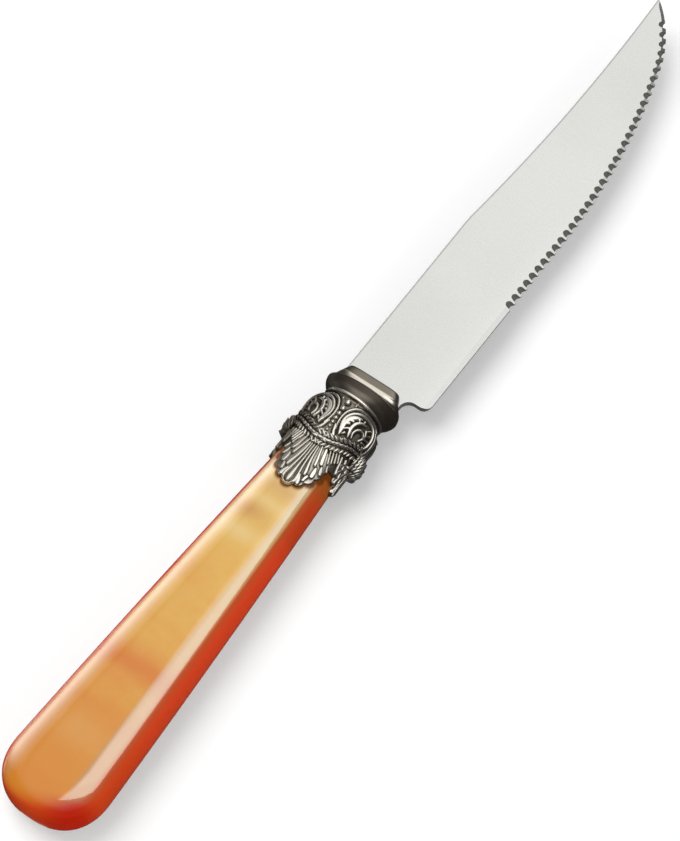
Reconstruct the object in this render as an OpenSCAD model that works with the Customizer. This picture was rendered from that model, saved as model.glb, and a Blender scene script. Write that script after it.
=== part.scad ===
// Steak knife: a ground steel blade with a toothed edge and a hidden tang, a smooth cast bolster, an ornate cast
// collar with leaf-shaped lappets, and a moulded handle that the tang is cemented into.
// The pieces are drawn about the knife's long axis: X runs to the point and is 0 at the seam of bolster and
// collar, Y runs to the spine, and Z is square to the blade. placed() then moves them to the knife's own origin.

/* [Blade] */
// Length of the blade from the bolster's front face to the point
blade_length = 110.7; // [104:0.1:118]
// Thickness of the ground blade
blade_thickness = 1.5; // [1.2:0.1:2]
// Height of the spine above the knife's axis
spine_height = 6.8; // [6.3:0.1:7.4]
// Drop of the straight edge below the axis
edge_drop = 12.5; // [11.5:0.1:13.5]
// Length of the hollow clip on the spine, back from the point
clip_length = 67.7; // [60:0.1:75]
// Radius of the hollow clip
clip_radius = 450; // [350:10:600]
// Height of the point above the axis
tip_height = 4.9; // [4.4:0.1:5.4]
// Slope of the edge where it meets the point
tip_angle = 52; // [49:1:56]
// Slope of the edge where the long belly curve gives way to the tighter one
belly_angle = 18; // [16:1:21]
// Radius of the tighter curve at the point
point_radius = 30; // [26:1:32]
// Width of the bevel on each side of the edge
bevel_width = 1; // [0.7:0.1:1.5]
// Thickness that is left along the edge
edge_thickness = 0.45; // [0.2:0.05:0.6]

/* [Heel and tang] */
// Distance of the heel in front of the bolster
heel_gap = 0.75; // [0.5:0.05:1.5]
// Radius of the hollow between the blade's root and its heel
choil_radius = 2.2; // [1.6:0.1:2.6]
// Radius of the heel's corner
heel_radius = 1.9; // [1.2:0.1:2.4]
// Drop of the root's lower side below the axis
root_drop = 7.2; // [6.6:0.1:7.6]
// Depth that the full-height root is seated in the bolster
root_seat = 2.6; // [2.4:0.1:2.8]
// Depth of the grinding that thins each side of the blade below the tang's strip thickness
grind_depth = 0.15; // [0.1:0.05:0.3]
// Width of the tang
tang_width = 4.8; // [4:0.1:5.2]
// Length of the tang behind the seam
tang_length = 62; // [45:1:70]

/* [Teeth] */
// Number of gullets ground into the edge
gullet_count = 37; // [20:1:38]
// Distance between gullets along the knife's axis
gullet_pitch = 2.08; // [1.9:0.01:2.1]
// Distance of the last gullet behind the point
gullet_start = 4.7; // [4:0.1:6]
// Radius of the wheel that grinds a gullet
gullet_radius = 0.8; // [0.6:0.05:0.9]
// Depth of a gullet at the middle of the blade's thickness
gullet_depth = 0.8; // [0.5:0.05:1]
// Lean of the wheel, which opens the gullets to the upper side
gullet_lean = 35; // [20:1:45]

/* [Bolster] */
// Length of the bolster from the seam to its front face
bolster_length = 7.35; // [7:0.05:8]
// Distance of the bulge's crest from the seam
bulge_distance = 2.7; // [2.4:0.1:3]
// Half width of the bulge
bulge_half_width = 8.7; // [8.2:0.1:9.4]
// Half thickness of the bulge
bulge_half_thickness = 7.3; // [7.1:0.1:8]
// Half width of the front lip
lip_half_width = 6.1; // [5.6:0.1:6.4]
// Half thickness of the front lip
lip_half_thickness = 2.9; // [2.4:0.1:3.4]

/* [Collar] */
// Half width of the neck at the seam
neck_half_width = 6.7; // [6.3:0.1:7]
// Half thickness of the neck at the seam
neck_half_thickness = 6.5; // [6.2:0.1:6.8]
// Radius of the wire round the collar's front rim
rim_wire_radius = 0.4; // [0.3:0.05:0.5]
// Distance of the barrel's crest behind the seam
barrel_distance = 5.1; // [4.5:0.1:6]
// Half width of the barrel
barrel_half_width = 8.7; // [8.4:0.1:9]
// Half thickness of the barrel
barrel_half_thickness = 7; // [6.8:0.1:7.1]
// Length of the cup from the seam to the handle's shoulder
cup_length = 16.4; // [15.5:0.1:17]
// Thickness of the lappets that lie on the handle
lappet_thickness = 0.8; // [0.6:0.05:1]
// Clearance between the lappets and the handle
lappet_clearance = 0.05; // [0.02:0.01:0.1]
// Radius of the tassel knots at the collar's sides
knot_radius = 2.4; // [2:0.1:2.6]
// Distance of the knots behind the seam
knot_distance = 10.8; // [10:0.1:11.5]
// Height to which the knots stand proud of the collar's axis
knot_reach = 9.4; // [9.2:0.1:9.6]

/* [Palmettes] */
// Distance of the palmettes' root behind the seam
palmette_root = 13; // [12:0.1:14]
// Length of the middle lobe of a palmette
palmette_length = 11.5; // [10.5:0.1:12]
// Width of a palmette's lobes at their round ends
palmette_lobe_width = 2; // [1.8:0.1:2.3]
// Length of the middle lobe of a side leaf
side_leaf_length = 6; // [5.5:0.1:7]
// Width of a side leaf's lobes at their round ends
side_leaf_lobe_width = 2.4; // [2.2:0.1:2.6]

/* [Ornament] */
// Depth of the ground between the raised parts of the collar
relief_depth = 0.35; // [0.2:0.05:0.4]
// Number of beads down the middle of each face
bead_count = 7; // [5:1:7]
// Radius of the largest bead, next to the rim
bead_radius = 0.72; // [0.6:0.02:0.8]
// Distance of the largest bead behind the seam
bead_distance = 2.15; // [2:0.05:2.3]
// Depth of the beads' middles below the ground
bead_sink = 0.1; // [0.05:0.01:0.15]
// Radius of the scrolls on the barrel
scroll_radius = 3.8; // [3.4:0.1:3.9]
// Distance of the scrolls' centres behind the seam
scroll_distance = 5.8; // [5.4:0.1:6]
// Angle round the axis from the middle of a face to a scroll
scroll_angle = 44; // [42:1:46]
// Width of a scroll's band
scroll_band_width = 0.6; // [0.4:0.05:0.7]
// Distance of the swag's middle behind the seam
swag_distance = 11.6; // [11.4:0.1:11.8]
// Rise of the swag towards the sides
swag_rise = 2.6; // [2:0.1:2.8]
// Half width that the swag hangs across
swag_half_width = 7.6; // [7:0.1:7.8]
// Length of a leaf of the swag
swag_leaf_length = 1.7; // [1.5:0.1:1.8]
// Width of a leaf of the swag
swag_leaf_width = 0.56; // [0.4:0.02:0.6]
// Width of a rib at the end of a palmette's lobe
rib_width = 1.4; // [1.1:0.1:1.5]
// Width of a rib at the end of a side leaf's lobe
side_rib_width = 1.6; // [1.3:0.1:1.8]
// Distance from the end of a rib to the end of its lobe
rib_margin = 0.4; // [0.2:0.05:0.6]
// Radius of the hub that the ribs spread from
rib_hub_radius = 1.3; // [1.2:0.05:1.5]

/* [Handle] */
// Length of the handle behind its shoulder
handle_length = 94.5; // [88:0.5:102]
// Half width at the shoulder
shoulder_half_width = 6.95; // [6.6:0.05:7.2]
// Half thickness at the shoulder
shoulder_half_thickness = 5.4; // [5.2:0.1:5.7]
// Half width at the butt, which is also the butt's radius
butt_half_width = 11.5; // [10.5:0.1:12.5]
// Half thickness at the butt
butt_half_thickness = 5.7; // [5.2:0.1:6.4]
// Bow of each side beyond a straight taper
side_bow = 0.65; // [0:0.05:1]
// Share by which the section at the shoulder is squared, where 0 is an ellipse
shoulder_square_share = 0.09; // [0:0.01:0.2]
// Share by which the section at the butt is squared
butt_square_share = 0.33; // [0.2:0.01:0.45]
// Radius of the spigot under the collar
spigot_radius = 4.6; // [4.2:0.1:4.9]
// Length of the spigot
spigot_length = 8; // [6:0.1:9]
// Radius of the bore for the tang
bore_radius = 3; // [2.9:0.05:3.3]
// Depth of the bore behind the seam
bore_depth = 66; // [64:1:76]

/* [Hidden] */

// Sides of each lofted section
loft_sides = 40;
// Facets of the rounds
$fn = 96;
// How far cutting shapes run past what they cut
overrun = 5;

tip_x = bolster_length + blade_length;
tang_thickness = blade_thickness + 2 * grind_depth;
// Step between the ground face and the bolster, which the grinding leaves just clear of the lip
grind_margin = grind_depth;

// Edge of the blade: a straight run, then a long belly arc, then a tighter arc to the point
edge_rise = tip_height + edge_drop;
belly_radius = (edge_rise - point_radius * (cos(belly_angle) - cos(tip_angle))) / (1 - cos(belly_angle));
point_centre = [tip_x - point_radius * sin(tip_angle), tip_height + point_radius * cos(tip_angle)];
belly_centre = point_centre + (belly_radius - point_radius) * [-sin(belly_angle), cos(belly_angle)];
belly_end_x = point_centre[0] + point_radius * sin(belly_angle);

// Clip: a large arc through the spine's corner and the point, hollow towards the spine
clip_corner = [tip_x - clip_length, spine_height];
clip_chord = [tip_x, tip_height] - clip_corner;
clip_middle = clip_corner + clip_chord / 2;
clip_rise = sqrt(pow(clip_radius, 2) - pow(norm(clip_chord) / 2, 2));
clip_centre = clip_middle + clip_rise * [-clip_chord[1], clip_chord[0]] / norm(clip_chord);

shoulder_x = -cup_length;
butt_x = shoulder_x - handle_length;
cap_x = butt_x + butt_half_width;

// Heights of the spine and of the edge at a distance along the axis, and the edge's slope in degrees
function spine_y(x) =
    x < clip_corner[0] ? spine_height :
    clip_centre[1] - sqrt(pow(clip_radius, 2) - pow(x - clip_centre[0], 2));
function edge_y(x) =
    x < belly_centre[0] ? -edge_drop :
    x < belly_end_x ? belly_centre[1] - sqrt(pow(belly_radius, 2) - pow(x - belly_centre[0], 2)) :
    point_centre[1] - sqrt(pow(point_radius, 2) - pow(x - point_centre[0], 2));
function edge_slope(x) =
    x < belly_centre[0] ? 0 :
    x < belly_end_x ? asin((x - belly_centre[0]) / belly_radius) :
    asin((x - point_centre[0]) / point_radius);

function mix(a, b, share) = a + (b - a) * share;

// Height of a rounded-square section above its middle plane, at a share of its half width
function crown(share, square_share) =
    let (power = 2 / (1 - square_share)) pow(max(0, 1 - pow(abs(share), power)), 1 / power);

// One section of a loft, square to X
function section(x, half_width, half_thickness, square_share) = [
    for (i = [0 : loft_sides - 1])
        let (turn = 360 * i / loft_sides)
        [x, half_width * cos(turn), half_thickness * sign(sin(turn)) * crown(cos(turn), square_share)]
];

// Handle: its size at a distance along the axis, from the shoulder to the start of the round butt
function handle_share(x) = (shoulder_x - x) / (shoulder_x - cap_x);
function handle_half_width(x) =
    let (u = handle_share(x)) mix(shoulder_half_width, butt_half_width, u) + 4 * side_bow * u * (1 - u);
function handle_half_thickness(x) = mix(shoulder_half_thickness, butt_half_thickness, handle_share(x));
function handle_square_share(x) = mix(shoulder_square_share, butt_square_share, handle_share(x));
function handle_section(x, grow) =
    section(x, handle_half_width(x) + grow, handle_half_thickness(x) + grow, handle_square_share(x));

// A section of the round butt, cut at an angle from its centre
function butt_section(angle) = [
    for (i = [0 : loft_sides - 1])
        let (
            turn = 360 * i / loft_sides,
            back = butt_half_width * sin(angle),
            side = butt_half_width * cos(angle) * cos(turn),
            reach_share = norm([back, side]) / butt_half_width
        )
        [cap_x - back, side, butt_half_thickness * sign(sin(turn)) * crown(reach_share, butt_square_share)]
];

// Closed solid through sections that are listed towards +X, each run from +Y over +Z, with an optional point
// behind the first section and another before the last
module loft(sections, back_point = undef, front_point = undef) {
    n = len(sections[0]);
    m = len(sections);
    back_at = m * n;
    front_at = is_undef(back_point) ? back_at : back_at + 1;
    last = (m - 1) * n;
    sides = [
        for (j = [0 : m - 2], i = [0 : n - 1])
            let (a = j * n + i, b = j * n + (i + 1) % n)
            each [[a, a + n, b + n], [a, b + n, b]]
    ];
    back = is_undef(back_point)
        ? [[for (i = [0 : n - 1]) i]]
        : [for (i = [0 : n - 1]) [back_at, i, (i + 1) % n]];
    front = is_undef(front_point)
        ? [[for (i = [n - 1 : -1 : 0]) last + i]]
        : [for (i = [0 : n - 1]) [front_at, last + (i + 1) % n, last + i]];
    points = concat(
        [for (s = sections) each s],
        is_undef(back_point) ? [] : [back_point],
        is_undef(front_point) ? [] : [front_point]
    );
    polyhedron(points, concat(sides, back, front), convexity = 6);
}

module placed() {
    translate([
        -(tip_x + butt_x) / 2,
        (edge_drop - butt_half_width) / 2,
        bulge_half_thickness
    ])
        children();
}

heel_x = bolster_length + heel_gap;
heel_end = heel_x + heel_radius;
function gullet_x(i) = tip_x - gullet_start - i * gullet_pitch;

// Section of the ground blade: spine, flats, bevels and the narrow land along the edge
function blade_section(x) =
    let (
        spine = spine_y(x),
        edge = edge_y(x),
        bevel_top = edge + min(bevel_width, (spine - edge) / 2),
        half = blade_thickness / 2,
        land = edge_thickness / 2
    )
    [
        [x, spine, half], [x, bevel_top, half], [x, edge, land],
        [x, edge, -land], [x, bevel_top, -half], [x, spine, -half]
    ];

// Shares of the way from the last gullet to the point where the blade is cut by a section
point_shares = [0.2, 0.4, 0.6, 0.8, 0.92];

module ground_blade() {
    loft(
        concat(
            [blade_section(heel_end)],
            [for (i = [gullet_count - 1 : -1 : 0]) blade_section(gullet_x(i))],
            [for (share = point_shares) blade_section(mix(gullet_x(0), tip_x, share))]
        ),
        front_point = [tip_x, tip_height, 0]
    );
}

// Root of the blade in plan, with the hollow below it and the heel's rounded corner
module heel_plan() {
    translate([bolster_length - root_seat, -root_drop])
        square([heel_end - bolster_length + root_seat, spine_height + root_drop]);
    translate([heel_x, heel_radius - edge_drop])
        square([heel_radius, edge_drop + spine_height - heel_radius]);
    translate([heel_end, heel_radius - edge_drop])
        intersection() {
            circle(r = heel_radius);
            translate([-heel_radius, -heel_radius])
                square(heel_radius);
        }
    translate([heel_x - choil_radius, -root_drop - choil_radius])
        difference() {
            square(choil_radius);
            circle(r = choil_radius);
        }
}

// What the bevels take off the heel's corner
module heel_bevel() {
    half = blade_thickness / 2;
    both_sides([0, 0, 1])
        translate([heel_x, -edge_drop, 0])
            rotate([90, 0, 90])
                linear_extrude(height = heel_radius)
                    polygon([
                        [0, edge_thickness / 2],
                        [bevel_width, half],
                        [0, half]
                    ]);
}

module gullet(x) {
    translate([x, edge_y(x), 0])
        rotate([0, 0, edge_slope(x)])
            rotate([-gullet_lean, 0, 0])
                translate([0, gullet_depth - gullet_radius, 0])
                    cylinder(r = gullet_radius, h = overrun * blade_thickness, center = true);
}

// The part of the root that the grinding leaves at the strip's full thickness
module root_plan() {
    nose_x = bolster_length + grind_margin;
    intersection() {
        heel_plan();
        polygon([
            [nose_x, -lip_half_width - grind_margin],
            [nose_x, lip_half_width + grind_margin],
            [bolster_length - root_seat, bulge_half_width],
            [bolster_length - root_seat, -bulge_half_width]
        ]);
    }
}

module tang_plan() {
    translate([-tang_length, -tang_width / 2])
        square([tang_length + bolster_length - root_seat, tang_width]);
}

module root_and_tang() {
    linear_extrude(height = tang_thickness, center = true) {
        root_plan();
        tang_plan();
    }
}

module blade() {
    color("gainsboro")
        placed()
            difference() {
                union() {
                    ground_blade();
                    linear_extrude(height = blade_thickness, center = true)
                        heel_plan();
                    root_and_tang();
                }
                heel_bevel();
                for (i = [0 : gullet_count - 1])
                    gullet(gullet_x(i));
            }
}

// Bolster: shares of the way from seam to crest with the swell there, then of the way from crest to front
// face with the width, the thickness and the squaring there
bulge_rear_shares = [[0, 0], [0.25, 0.42], [0.5, 0.74], [0.75, 0.93]];
bulge_front_shares = [
    [0, 1, 1, 0], [0.17, 0.96, 0.93, 0.04], [0.32, 0.81, 0.73, 0.15], [0.42, 0.65, 0.45, 0.44],
    [0.5, 0.52, 0.24, 0.7], [0.6, 0.4, 0.13, 0.88], [0.74, 0.27, 0.08, 1], [1, 0, 0, 1]
];
neck_square_share = 0.05;
lip_square_share = 0.6;

function bolster_sections() = concat(
    [for (s = bulge_rear_shares) section(
        s[0] * bulge_distance,
        mix(neck_half_width, bulge_half_width, s[1]),
        mix(neck_half_thickness, bulge_half_thickness, s[1]),
        neck_square_share
    )],
    [for (s = bulge_front_shares) section(
        mix(bulge_distance, bolster_length, s[0]),
        mix(lip_half_width, bulge_half_width, s[1]),
        mix(lip_half_thickness, bulge_half_thickness, s[2]),
        mix(neck_square_share, lip_square_share, s[3])
    )]
);

module bolster() {
    color("dimgray")
        placed()
            difference() {
                loft(bolster_sections());
                root_and_tang();
            }
}

// Collar: shares of the way from the lappets' ends to the barrel's crest, with how much of the barrel is in
// the size there, then from the crest to the rim with how much of the rim is in it
barrel_rear_shares = [
    [0, 0], [0.2, 0], [0.4, 0], [0.5, 0.03], [0.58, 0.12], [0.66, 0.3], [0.74, 0.52], [0.82, 0.75],
    [0.9, 0.92], [1, 1]
];
barrel_front_shares = [[0.25, 0.06], [0.45, 0.2], [0.65, 0.45], [0.8, 0.72], [0.9, 1]];

rim_x = -rim_wire_radius;
lappet_end = -palmette_root - palmette_length - palmette_lobe_width;

// The collar's skin: place, half width, half thickness and squaring of each of its sections
collar_rows = concat(
    [for (s = barrel_rear_shares)
        let (x = mix(lappet_end, -barrel_distance, s[0]))
        [
            x,
            mix(handle_half_width(x) + lappet_thickness, barrel_half_width, s[1]),
            mix(handle_half_thickness(x) + lappet_thickness, barrel_half_thickness, s[1]),
            mix(handle_square_share(x), neck_square_share, s[1])
        ]],
    [for (s = barrel_front_shares) [
        mix(-barrel_distance, rim_x - rim_wire_radius, s[0]),
        mix(barrel_half_width, neck_half_width, s[1]),
        mix(barrel_half_thickness, neck_half_thickness, s[1]),
        neck_square_share
    ]],
    [for (turn = [-90 : 30 : 90]) [
        rim_x + rim_wire_radius * sin(turn),
        neck_half_width + rim_wire_radius * cos(turn),
        neck_half_thickness + rim_wire_radius * cos(turn),
        neck_square_share
    ]]
);

// The skin as a solid, sunk all round by a depth
module collar_skin(sink) {
    loft([for (r = collar_rows) section(r[0], r[1] - sink, r[2] - sink, r[3])]);
}

// Height of the skin in the middle of a face
function skin_z(x) = lookup(x, [for (r = collar_rows) [r[0], r[2]]]);

// Fan of round-ended lobes in plan, spread backwards from a hub at the origin
module lobe_fan(lobes, step, length, length_loss_share, width) {
    circle(r = rib_hub_radius);
    for (i = [-lobes : lobes])
        let (reach = length * (1 - length_loss_share * abs(i)))
        rotate([0, 0, 180 + i * step]) {
            translate([reach - width / 2, 0])
                circle(d = width);
            polygon([[0, 0], [reach - width / 2, -width / 2], [reach - width / 2, width / 2]]);
        }
}

palmette_lobes = 4;
palmette_step = 12.5;
palmette_loss_share = 0.1;
side_leaf_lobes = 2;
side_leaf_step = 24;
side_leaf_loss_share = 0.14;

// Palmettes on both faces, or their ribs, as a prism that the skin cuts off
module palmette_prism(width, margin) {
    linear_extrude(height = 2 * bulge_half_thickness, center = true)
        translate([-palmette_root, 0])
            lobe_fan(palmette_lobes, palmette_step, palmette_length - margin, palmette_loss_share, width);
}

// Side leaves on both sides, or their ribs
module side_leaf_prism(width, margin) {
    rotate([90, 0, 0])
        linear_extrude(height = 2 * knot_reach, center = true)
            translate([-palmette_root, 0])
                lobe_fan(side_leaf_lobes, side_leaf_step, side_leaf_length - margin, side_leaf_loss_share,
                    width);
}

module both_sides(axis) {
    children();
    mirror(axis)
        children();
}

// Part of the collar from a distance behind the seam to past its front
module front_slab(distance) {
    translate([-distance, -knot_reach, -bulge_half_thickness])
        cube([distance + overrun, 2 * knot_reach, 2 * bulge_half_thickness]);
}

// Scroll: a band that winds inwards, with the angles it runs between and its last radius as a share
scroll_steps = 26;
scroll_start_angle = -116;
scroll_end_angle = 420;
scroll_end_share = 0.32;
scroll_base_share = 0.62;

function scroll_point(share, side) =
    let (
        angle = mix(scroll_start_angle, scroll_end_angle, share),
        radius = scroll_radius * mix(1, scroll_end_share, share) + side * scroll_band_width / 2
    )
    radius * [cos(angle), sin(angle)];

module scroll_prism() {
    rotate([-scroll_angle, 0, 0])
        translate([-scroll_distance, 0, scroll_base_share * barrel_half_thickness])
            linear_extrude(height = knot_reach)
                polygon(concat(
                    [for (i = [0 : scroll_steps]) scroll_point(i / scroll_steps, 1)],
                    [for (i = [scroll_steps : -1 : 0]) scroll_point(i / scroll_steps, -1)]
                ));
}

// Swag: pairs of leaves to each side of its middle, their splay and their distance from its middle line
swag_pairs = 7;
swag_splay = 42;
swag_row_share = 0.33;
swag_power = 1.6;
leaf_outline_shares = [[0, 0], [0.25, 0.8], [0.55, 1], [0.85, 0.7], [1, 0]];

function swag_x(y) = -swag_distance + swag_rise * pow(abs(y) / swag_half_width, swag_power);

module swag_leaf() {
    translate([-swag_leaf_length / 2, 0])
        polygon(concat(
            [for (s = leaf_outline_shares) [s[0] * swag_leaf_length, s[1] * swag_leaf_width / 2]],
            [for (i = [len(leaf_outline_shares) - 2 : -1 : 1])
                let (s = leaf_outline_shares[i]) [s[0] * swag_leaf_length, -s[1] * swag_leaf_width / 2]]
        ));
}

module swag_prism() {
    linear_extrude(height = 2 * bulge_half_thickness, center = true)
        both_sides([0, 1])
            for (i = [0 : swag_pairs - 1], side = [-1, 1])
                let (
                    y = swag_half_width * (i + 0.5) / swag_pairs,
                    ahead = y + swag_leaf_length / 2,
                    heading = atan2(ahead - y, swag_x(ahead) - swag_x(y))
                )
                translate([swag_x(y), y])
                    rotate([0, 0, heading])
                        translate([0, side * swag_row_share * swag_leaf_length])
                            rotate([0, 0, side * swag_splay])
                                swag_leaf();
}

// Beads that dwindle from the rim towards the swag
bead_loss_share = 0.11;
bead_gap_share = 0.2;

function bead_r(i) = bead_radius * pow(1 - bead_loss_share, i);
function bead_x(i) =
    i == 0 ? -bead_distance : bead_x(i - 1) - (1 + bead_gap_share) * (bead_r(i - 1) + bead_r(i));

module beads() {
    for (i = [0 : bead_count - 1])
        translate([bead_x(i), 0, skin_z(bead_x(i)) - relief_depth - bead_sink])
            rotate([90, 0, 0])
                sphere(r = bead_r(i));
}

module raised_ornament() {
    front_slab(2 * rim_wire_radius);
    palmette_prism(rib_width, rib_margin);
    side_leaf_prism(side_rib_width, rib_margin);
    swag_prism();
    both_sides([0, 0, 1])
        both_sides([0, 1, 0])
            scroll_prism();
}

module collar() {
    color("gray")
        placed()
            difference() {
                union() {
                    intersection() {
                        collar_skin(relief_depth);
                        union() {
                            front_slab(cup_length);
                            palmette_prism(palmette_lobe_width, 0);
                            side_leaf_prism(side_leaf_lobe_width, 0);
                        }
                    }
                    intersection() {
                        collar_skin(0);
                        raised_ornament();
                    }
                    both_sides([0, 0, 1])
                        beads();
                    both_sides([0, 1, 0])
                        translate([-knot_distance, knot_reach - knot_radius, 0])
                            sphere(r = knot_radius);
                }
                loft([
                    for (share = [1, 0.5, 0])
                        handle_section(mix(shoulder_x, lappet_end - lappet_thickness, share), lappet_clearance)
                ]);
                translate([shoulder_x, 0, 0])
                    rotate([0, 90, 0])
                        cylinder(r = spigot_radius, h = spigot_length);
                translate([shoulder_x, 0, 0])
                    rotate([0, 90, 0])
                        cylinder(r = bore_radius, h = cup_length + overrun);
            }
}

// Steps of the handle's taper, and the angles at which its round butt is cut
taper_steps = 14;
butt_angles = [88, 85, 80, 74, 67, 59, 50, 40, 30, 20, 10];

module handle() {
    color("orangered")
        placed()
            difference() {
                union() {
                    loft(
                        concat(
                            [for (angle = butt_angles) butt_section(angle)],
                            [for (i = [0 : taper_steps]) handle_section(mix(cap_x, shoulder_x, i / taper_steps), 0)]
                        ),
                        [butt_x, 0, 0]
                    );
                    translate([shoulder_x, 0, 0])
                        rotate([0, 90, 0])
                            cylinder(r = spigot_radius, h = spigot_length);
                }
                translate([-bore_depth, 0, 0])
                    rotate([0, 90, 0])
                        cylinder(r = bore_radius, h = bore_depth);
            }
}

module tang_cement() {
    color("tan")
        placed()
            difference() {
                translate([-bore_depth, 0, 0])
                    rotate([0, 90, 0])
                        cylinder(r = bore_radius, h = bore_depth);
                root_and_tang();
            }
}

blade();
bolster();
collar();
handle();
tang_cement();
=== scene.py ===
"""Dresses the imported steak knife: ground blade, cast bolster, ornate collar and pearly moulded handle.

The pieces are drawn in millimetres about the knife's long axis, with X running to the point and 0 at the seam
of bolster and collar, and are then placed in the row frame in metres.
"""

import logging
import math
from dataclasses import dataclass, field
from enum import Enum
from typing import Optional, Sequence

import bpy
import numpy as np
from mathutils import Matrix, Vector


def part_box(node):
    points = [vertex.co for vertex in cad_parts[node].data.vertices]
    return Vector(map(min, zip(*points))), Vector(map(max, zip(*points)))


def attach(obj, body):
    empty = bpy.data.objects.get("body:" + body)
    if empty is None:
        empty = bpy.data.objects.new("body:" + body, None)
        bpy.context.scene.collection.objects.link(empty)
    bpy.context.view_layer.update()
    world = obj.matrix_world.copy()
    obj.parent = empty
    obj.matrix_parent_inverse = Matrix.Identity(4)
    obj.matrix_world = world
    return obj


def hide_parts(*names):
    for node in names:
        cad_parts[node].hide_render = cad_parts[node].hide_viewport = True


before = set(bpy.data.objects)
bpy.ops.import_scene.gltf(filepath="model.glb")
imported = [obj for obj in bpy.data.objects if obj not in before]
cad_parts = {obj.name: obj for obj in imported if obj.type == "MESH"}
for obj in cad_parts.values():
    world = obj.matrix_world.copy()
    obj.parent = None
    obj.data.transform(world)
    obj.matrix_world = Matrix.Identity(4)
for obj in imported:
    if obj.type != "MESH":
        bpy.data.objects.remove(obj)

Array = np.ndarray
Point = tuple[float, ...]

MM = 0.001
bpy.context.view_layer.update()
LOG = logging.getLogger("steak_knife")
WHOLE_TURN = np.linspace(0, 2 * math.pi, 1441)


def linear(red: int, green: int, blue: int) -> tuple[float, float, float, float]:
    """Turns a screen colour into the linear colour that a shader takes.

    Args:
        red: Red from 0 to 255.
        green: Green from 0 to 255.
        blue: Blue from 0 to 255.

    Returns:
        The colour's linear red, green, blue and full alpha.
    """
    shares = (value / 255 for value in (red, green, blue))
    parts = [s / 12.92 if s <= 0.04045 else ((s + 0.055) / 1.055) ** 2.4 for s in shares]
    return (parts[0], parts[1], parts[2], 1.0)


def smooth_share(value: Array, low: float, high: float) -> Array:
    """Eases from 0 at low to 1 at high.

    Args:
        value: What is measured.
        low: Where the share leaves 0.
        high: Where the share reaches 1.

    Returns:
        The share at each value.
    """
    share = np.clip((np.asarray(value, float) - low) / (high - low), 0, 1)
    return share * share * (3 - 2 * share)


def between(low: Array, high: Array, share: Array) -> Array:
    """Returns what lies a share of the way from low to high."""
    return low + (high - low) * share


class Curve:
    """A smooth line through points that never swings beyond its neighbours."""

    def __init__(self, points: Sequence[tuple[float, float]]) -> None:
        """Fits slopes to the points, which are listed by rising position.

        Args:
            points: Each point's position and value.
        """
        table = np.array(points, float)
        self.at, self.value = table[:, 0], table[:, 1]
        step = np.diff(self.at)
        secant = np.diff(self.value) / step
        slope = np.zeros_like(self.value)
        slope[0], slope[-1] = secant[0], secant[-1]
        same = secant[1:] * secant[:-1] > 0
        weight = 3 * (step[1:] + step[:-1])
        before, after = 2 * step[1:] + step[:-1], step[1:] + 2 * step[:-1]
        safe = np.where(same, secant[1:], 1), np.where(same, secant[:-1], 1)
        slope[1:-1] = np.where(same, weight / (before / safe[1] + after / safe[0]), 0)
        self.slope = slope

    def __call__(self, position: Array) -> Array:
        """Returns the line's value at each position.

        Args:
            position: Positions, which are held within the line's ends.

        Returns:
            The values.
        """
        at = np.clip(np.asarray(position, float), self.at[0], self.at[-1])
        i = np.clip(np.searchsorted(self.at, at) - 1, 0, len(self.at) - 2)
        step = self.at[i + 1] - self.at[i]
        u = (at - self.at[i]) / step
        return (
            self.value[i] * (1 + 2 * u) * (1 - u) ** 2
            + self.value[i + 1] * u * u * (3 - 2 * u)
            + step * self.slope[i] * u * (1 - u) ** 2
            - step * self.slope[i + 1] * u * u * (1 - u)
        )


@dataclass(frozen=True)
class KnifeAxis:
    """Where the knife's own axis runs in the row frame, in metres."""

    seam_x: float
    axis_y: float
    axis_z: float

    @classmethod
    def from_frame(cls) -> "KnifeAxis":
        """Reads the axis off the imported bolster."""
        low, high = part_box("bolster")
        return cls(low.x, (low.y + high.y) / 2, (low.z + high.z) / 2)

    def place(self, points: Array) -> Array:
        """Turns points in millimetres about the axis into the row frame's metres."""
        return np.asarray(points, float) * MM + (self.seam_x, self.axis_y, self.axis_z)


AXIS = KnifeAxis.from_frame()


def oval_ring(x: float, half_width: float, half_thickness: float, square_share: float, count: int) -> Array:
    """Makes one section square to the axis, with its points spread evenly along it.

    Args:
        x: Place of the section along the axis.
        half_width: Reach of the section to each side.
        half_thickness: Reach of the section up and down.
        square_share: 0 for an ellipse, towards 1 for a squarer section.
        count: Number of points.

    Returns:
        The points, from the top over the spine side and round.
    """
    power = 1 - square_share
    y = half_width * np.sign(np.sin(WHOLE_TURN)) * np.abs(np.sin(WHOLE_TURN)) ** power
    z = half_thickness * np.sign(np.cos(WHOLE_TURN)) * np.abs(np.cos(WHOLE_TURN)) ** power
    return spread(np.column_stack([np.full_like(y, x), y, z]), count)


def spread(path: Array, count: int) -> Array:
    """Puts count points evenly along a closed path whose last point repeats its first.

    Args:
        path: The path's points.
        count: Number of points.

    Returns:
        The evenly spaced points, of which the last doesn't repeat the first.
    """
    length = np.concatenate([[0], np.cumsum(np.linalg.norm(np.diff(path, axis=0), axis=1))])
    stops = np.arange(count) * length[-1] / count
    return np.column_stack([np.interp(stops, length, path[:, i]) for i in range(3)])


def round_rings(stops: Sequence[Point], count: int) -> list[Array]:
    """Makes round sections, each from its place along the axis and its radius."""
    return [oval_ring(x, radius, radius, 0.0, count) for x, radius in stops]


def section_curves(rows: Sequence[Point]) -> tuple[Curve, ...]:
    """Fits the half width, half thickness and square share to sections listed along the axis."""
    return tuple(Curve([(row[0], row[i]) for row in rows]) for i in (1, 2, 3))


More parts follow.
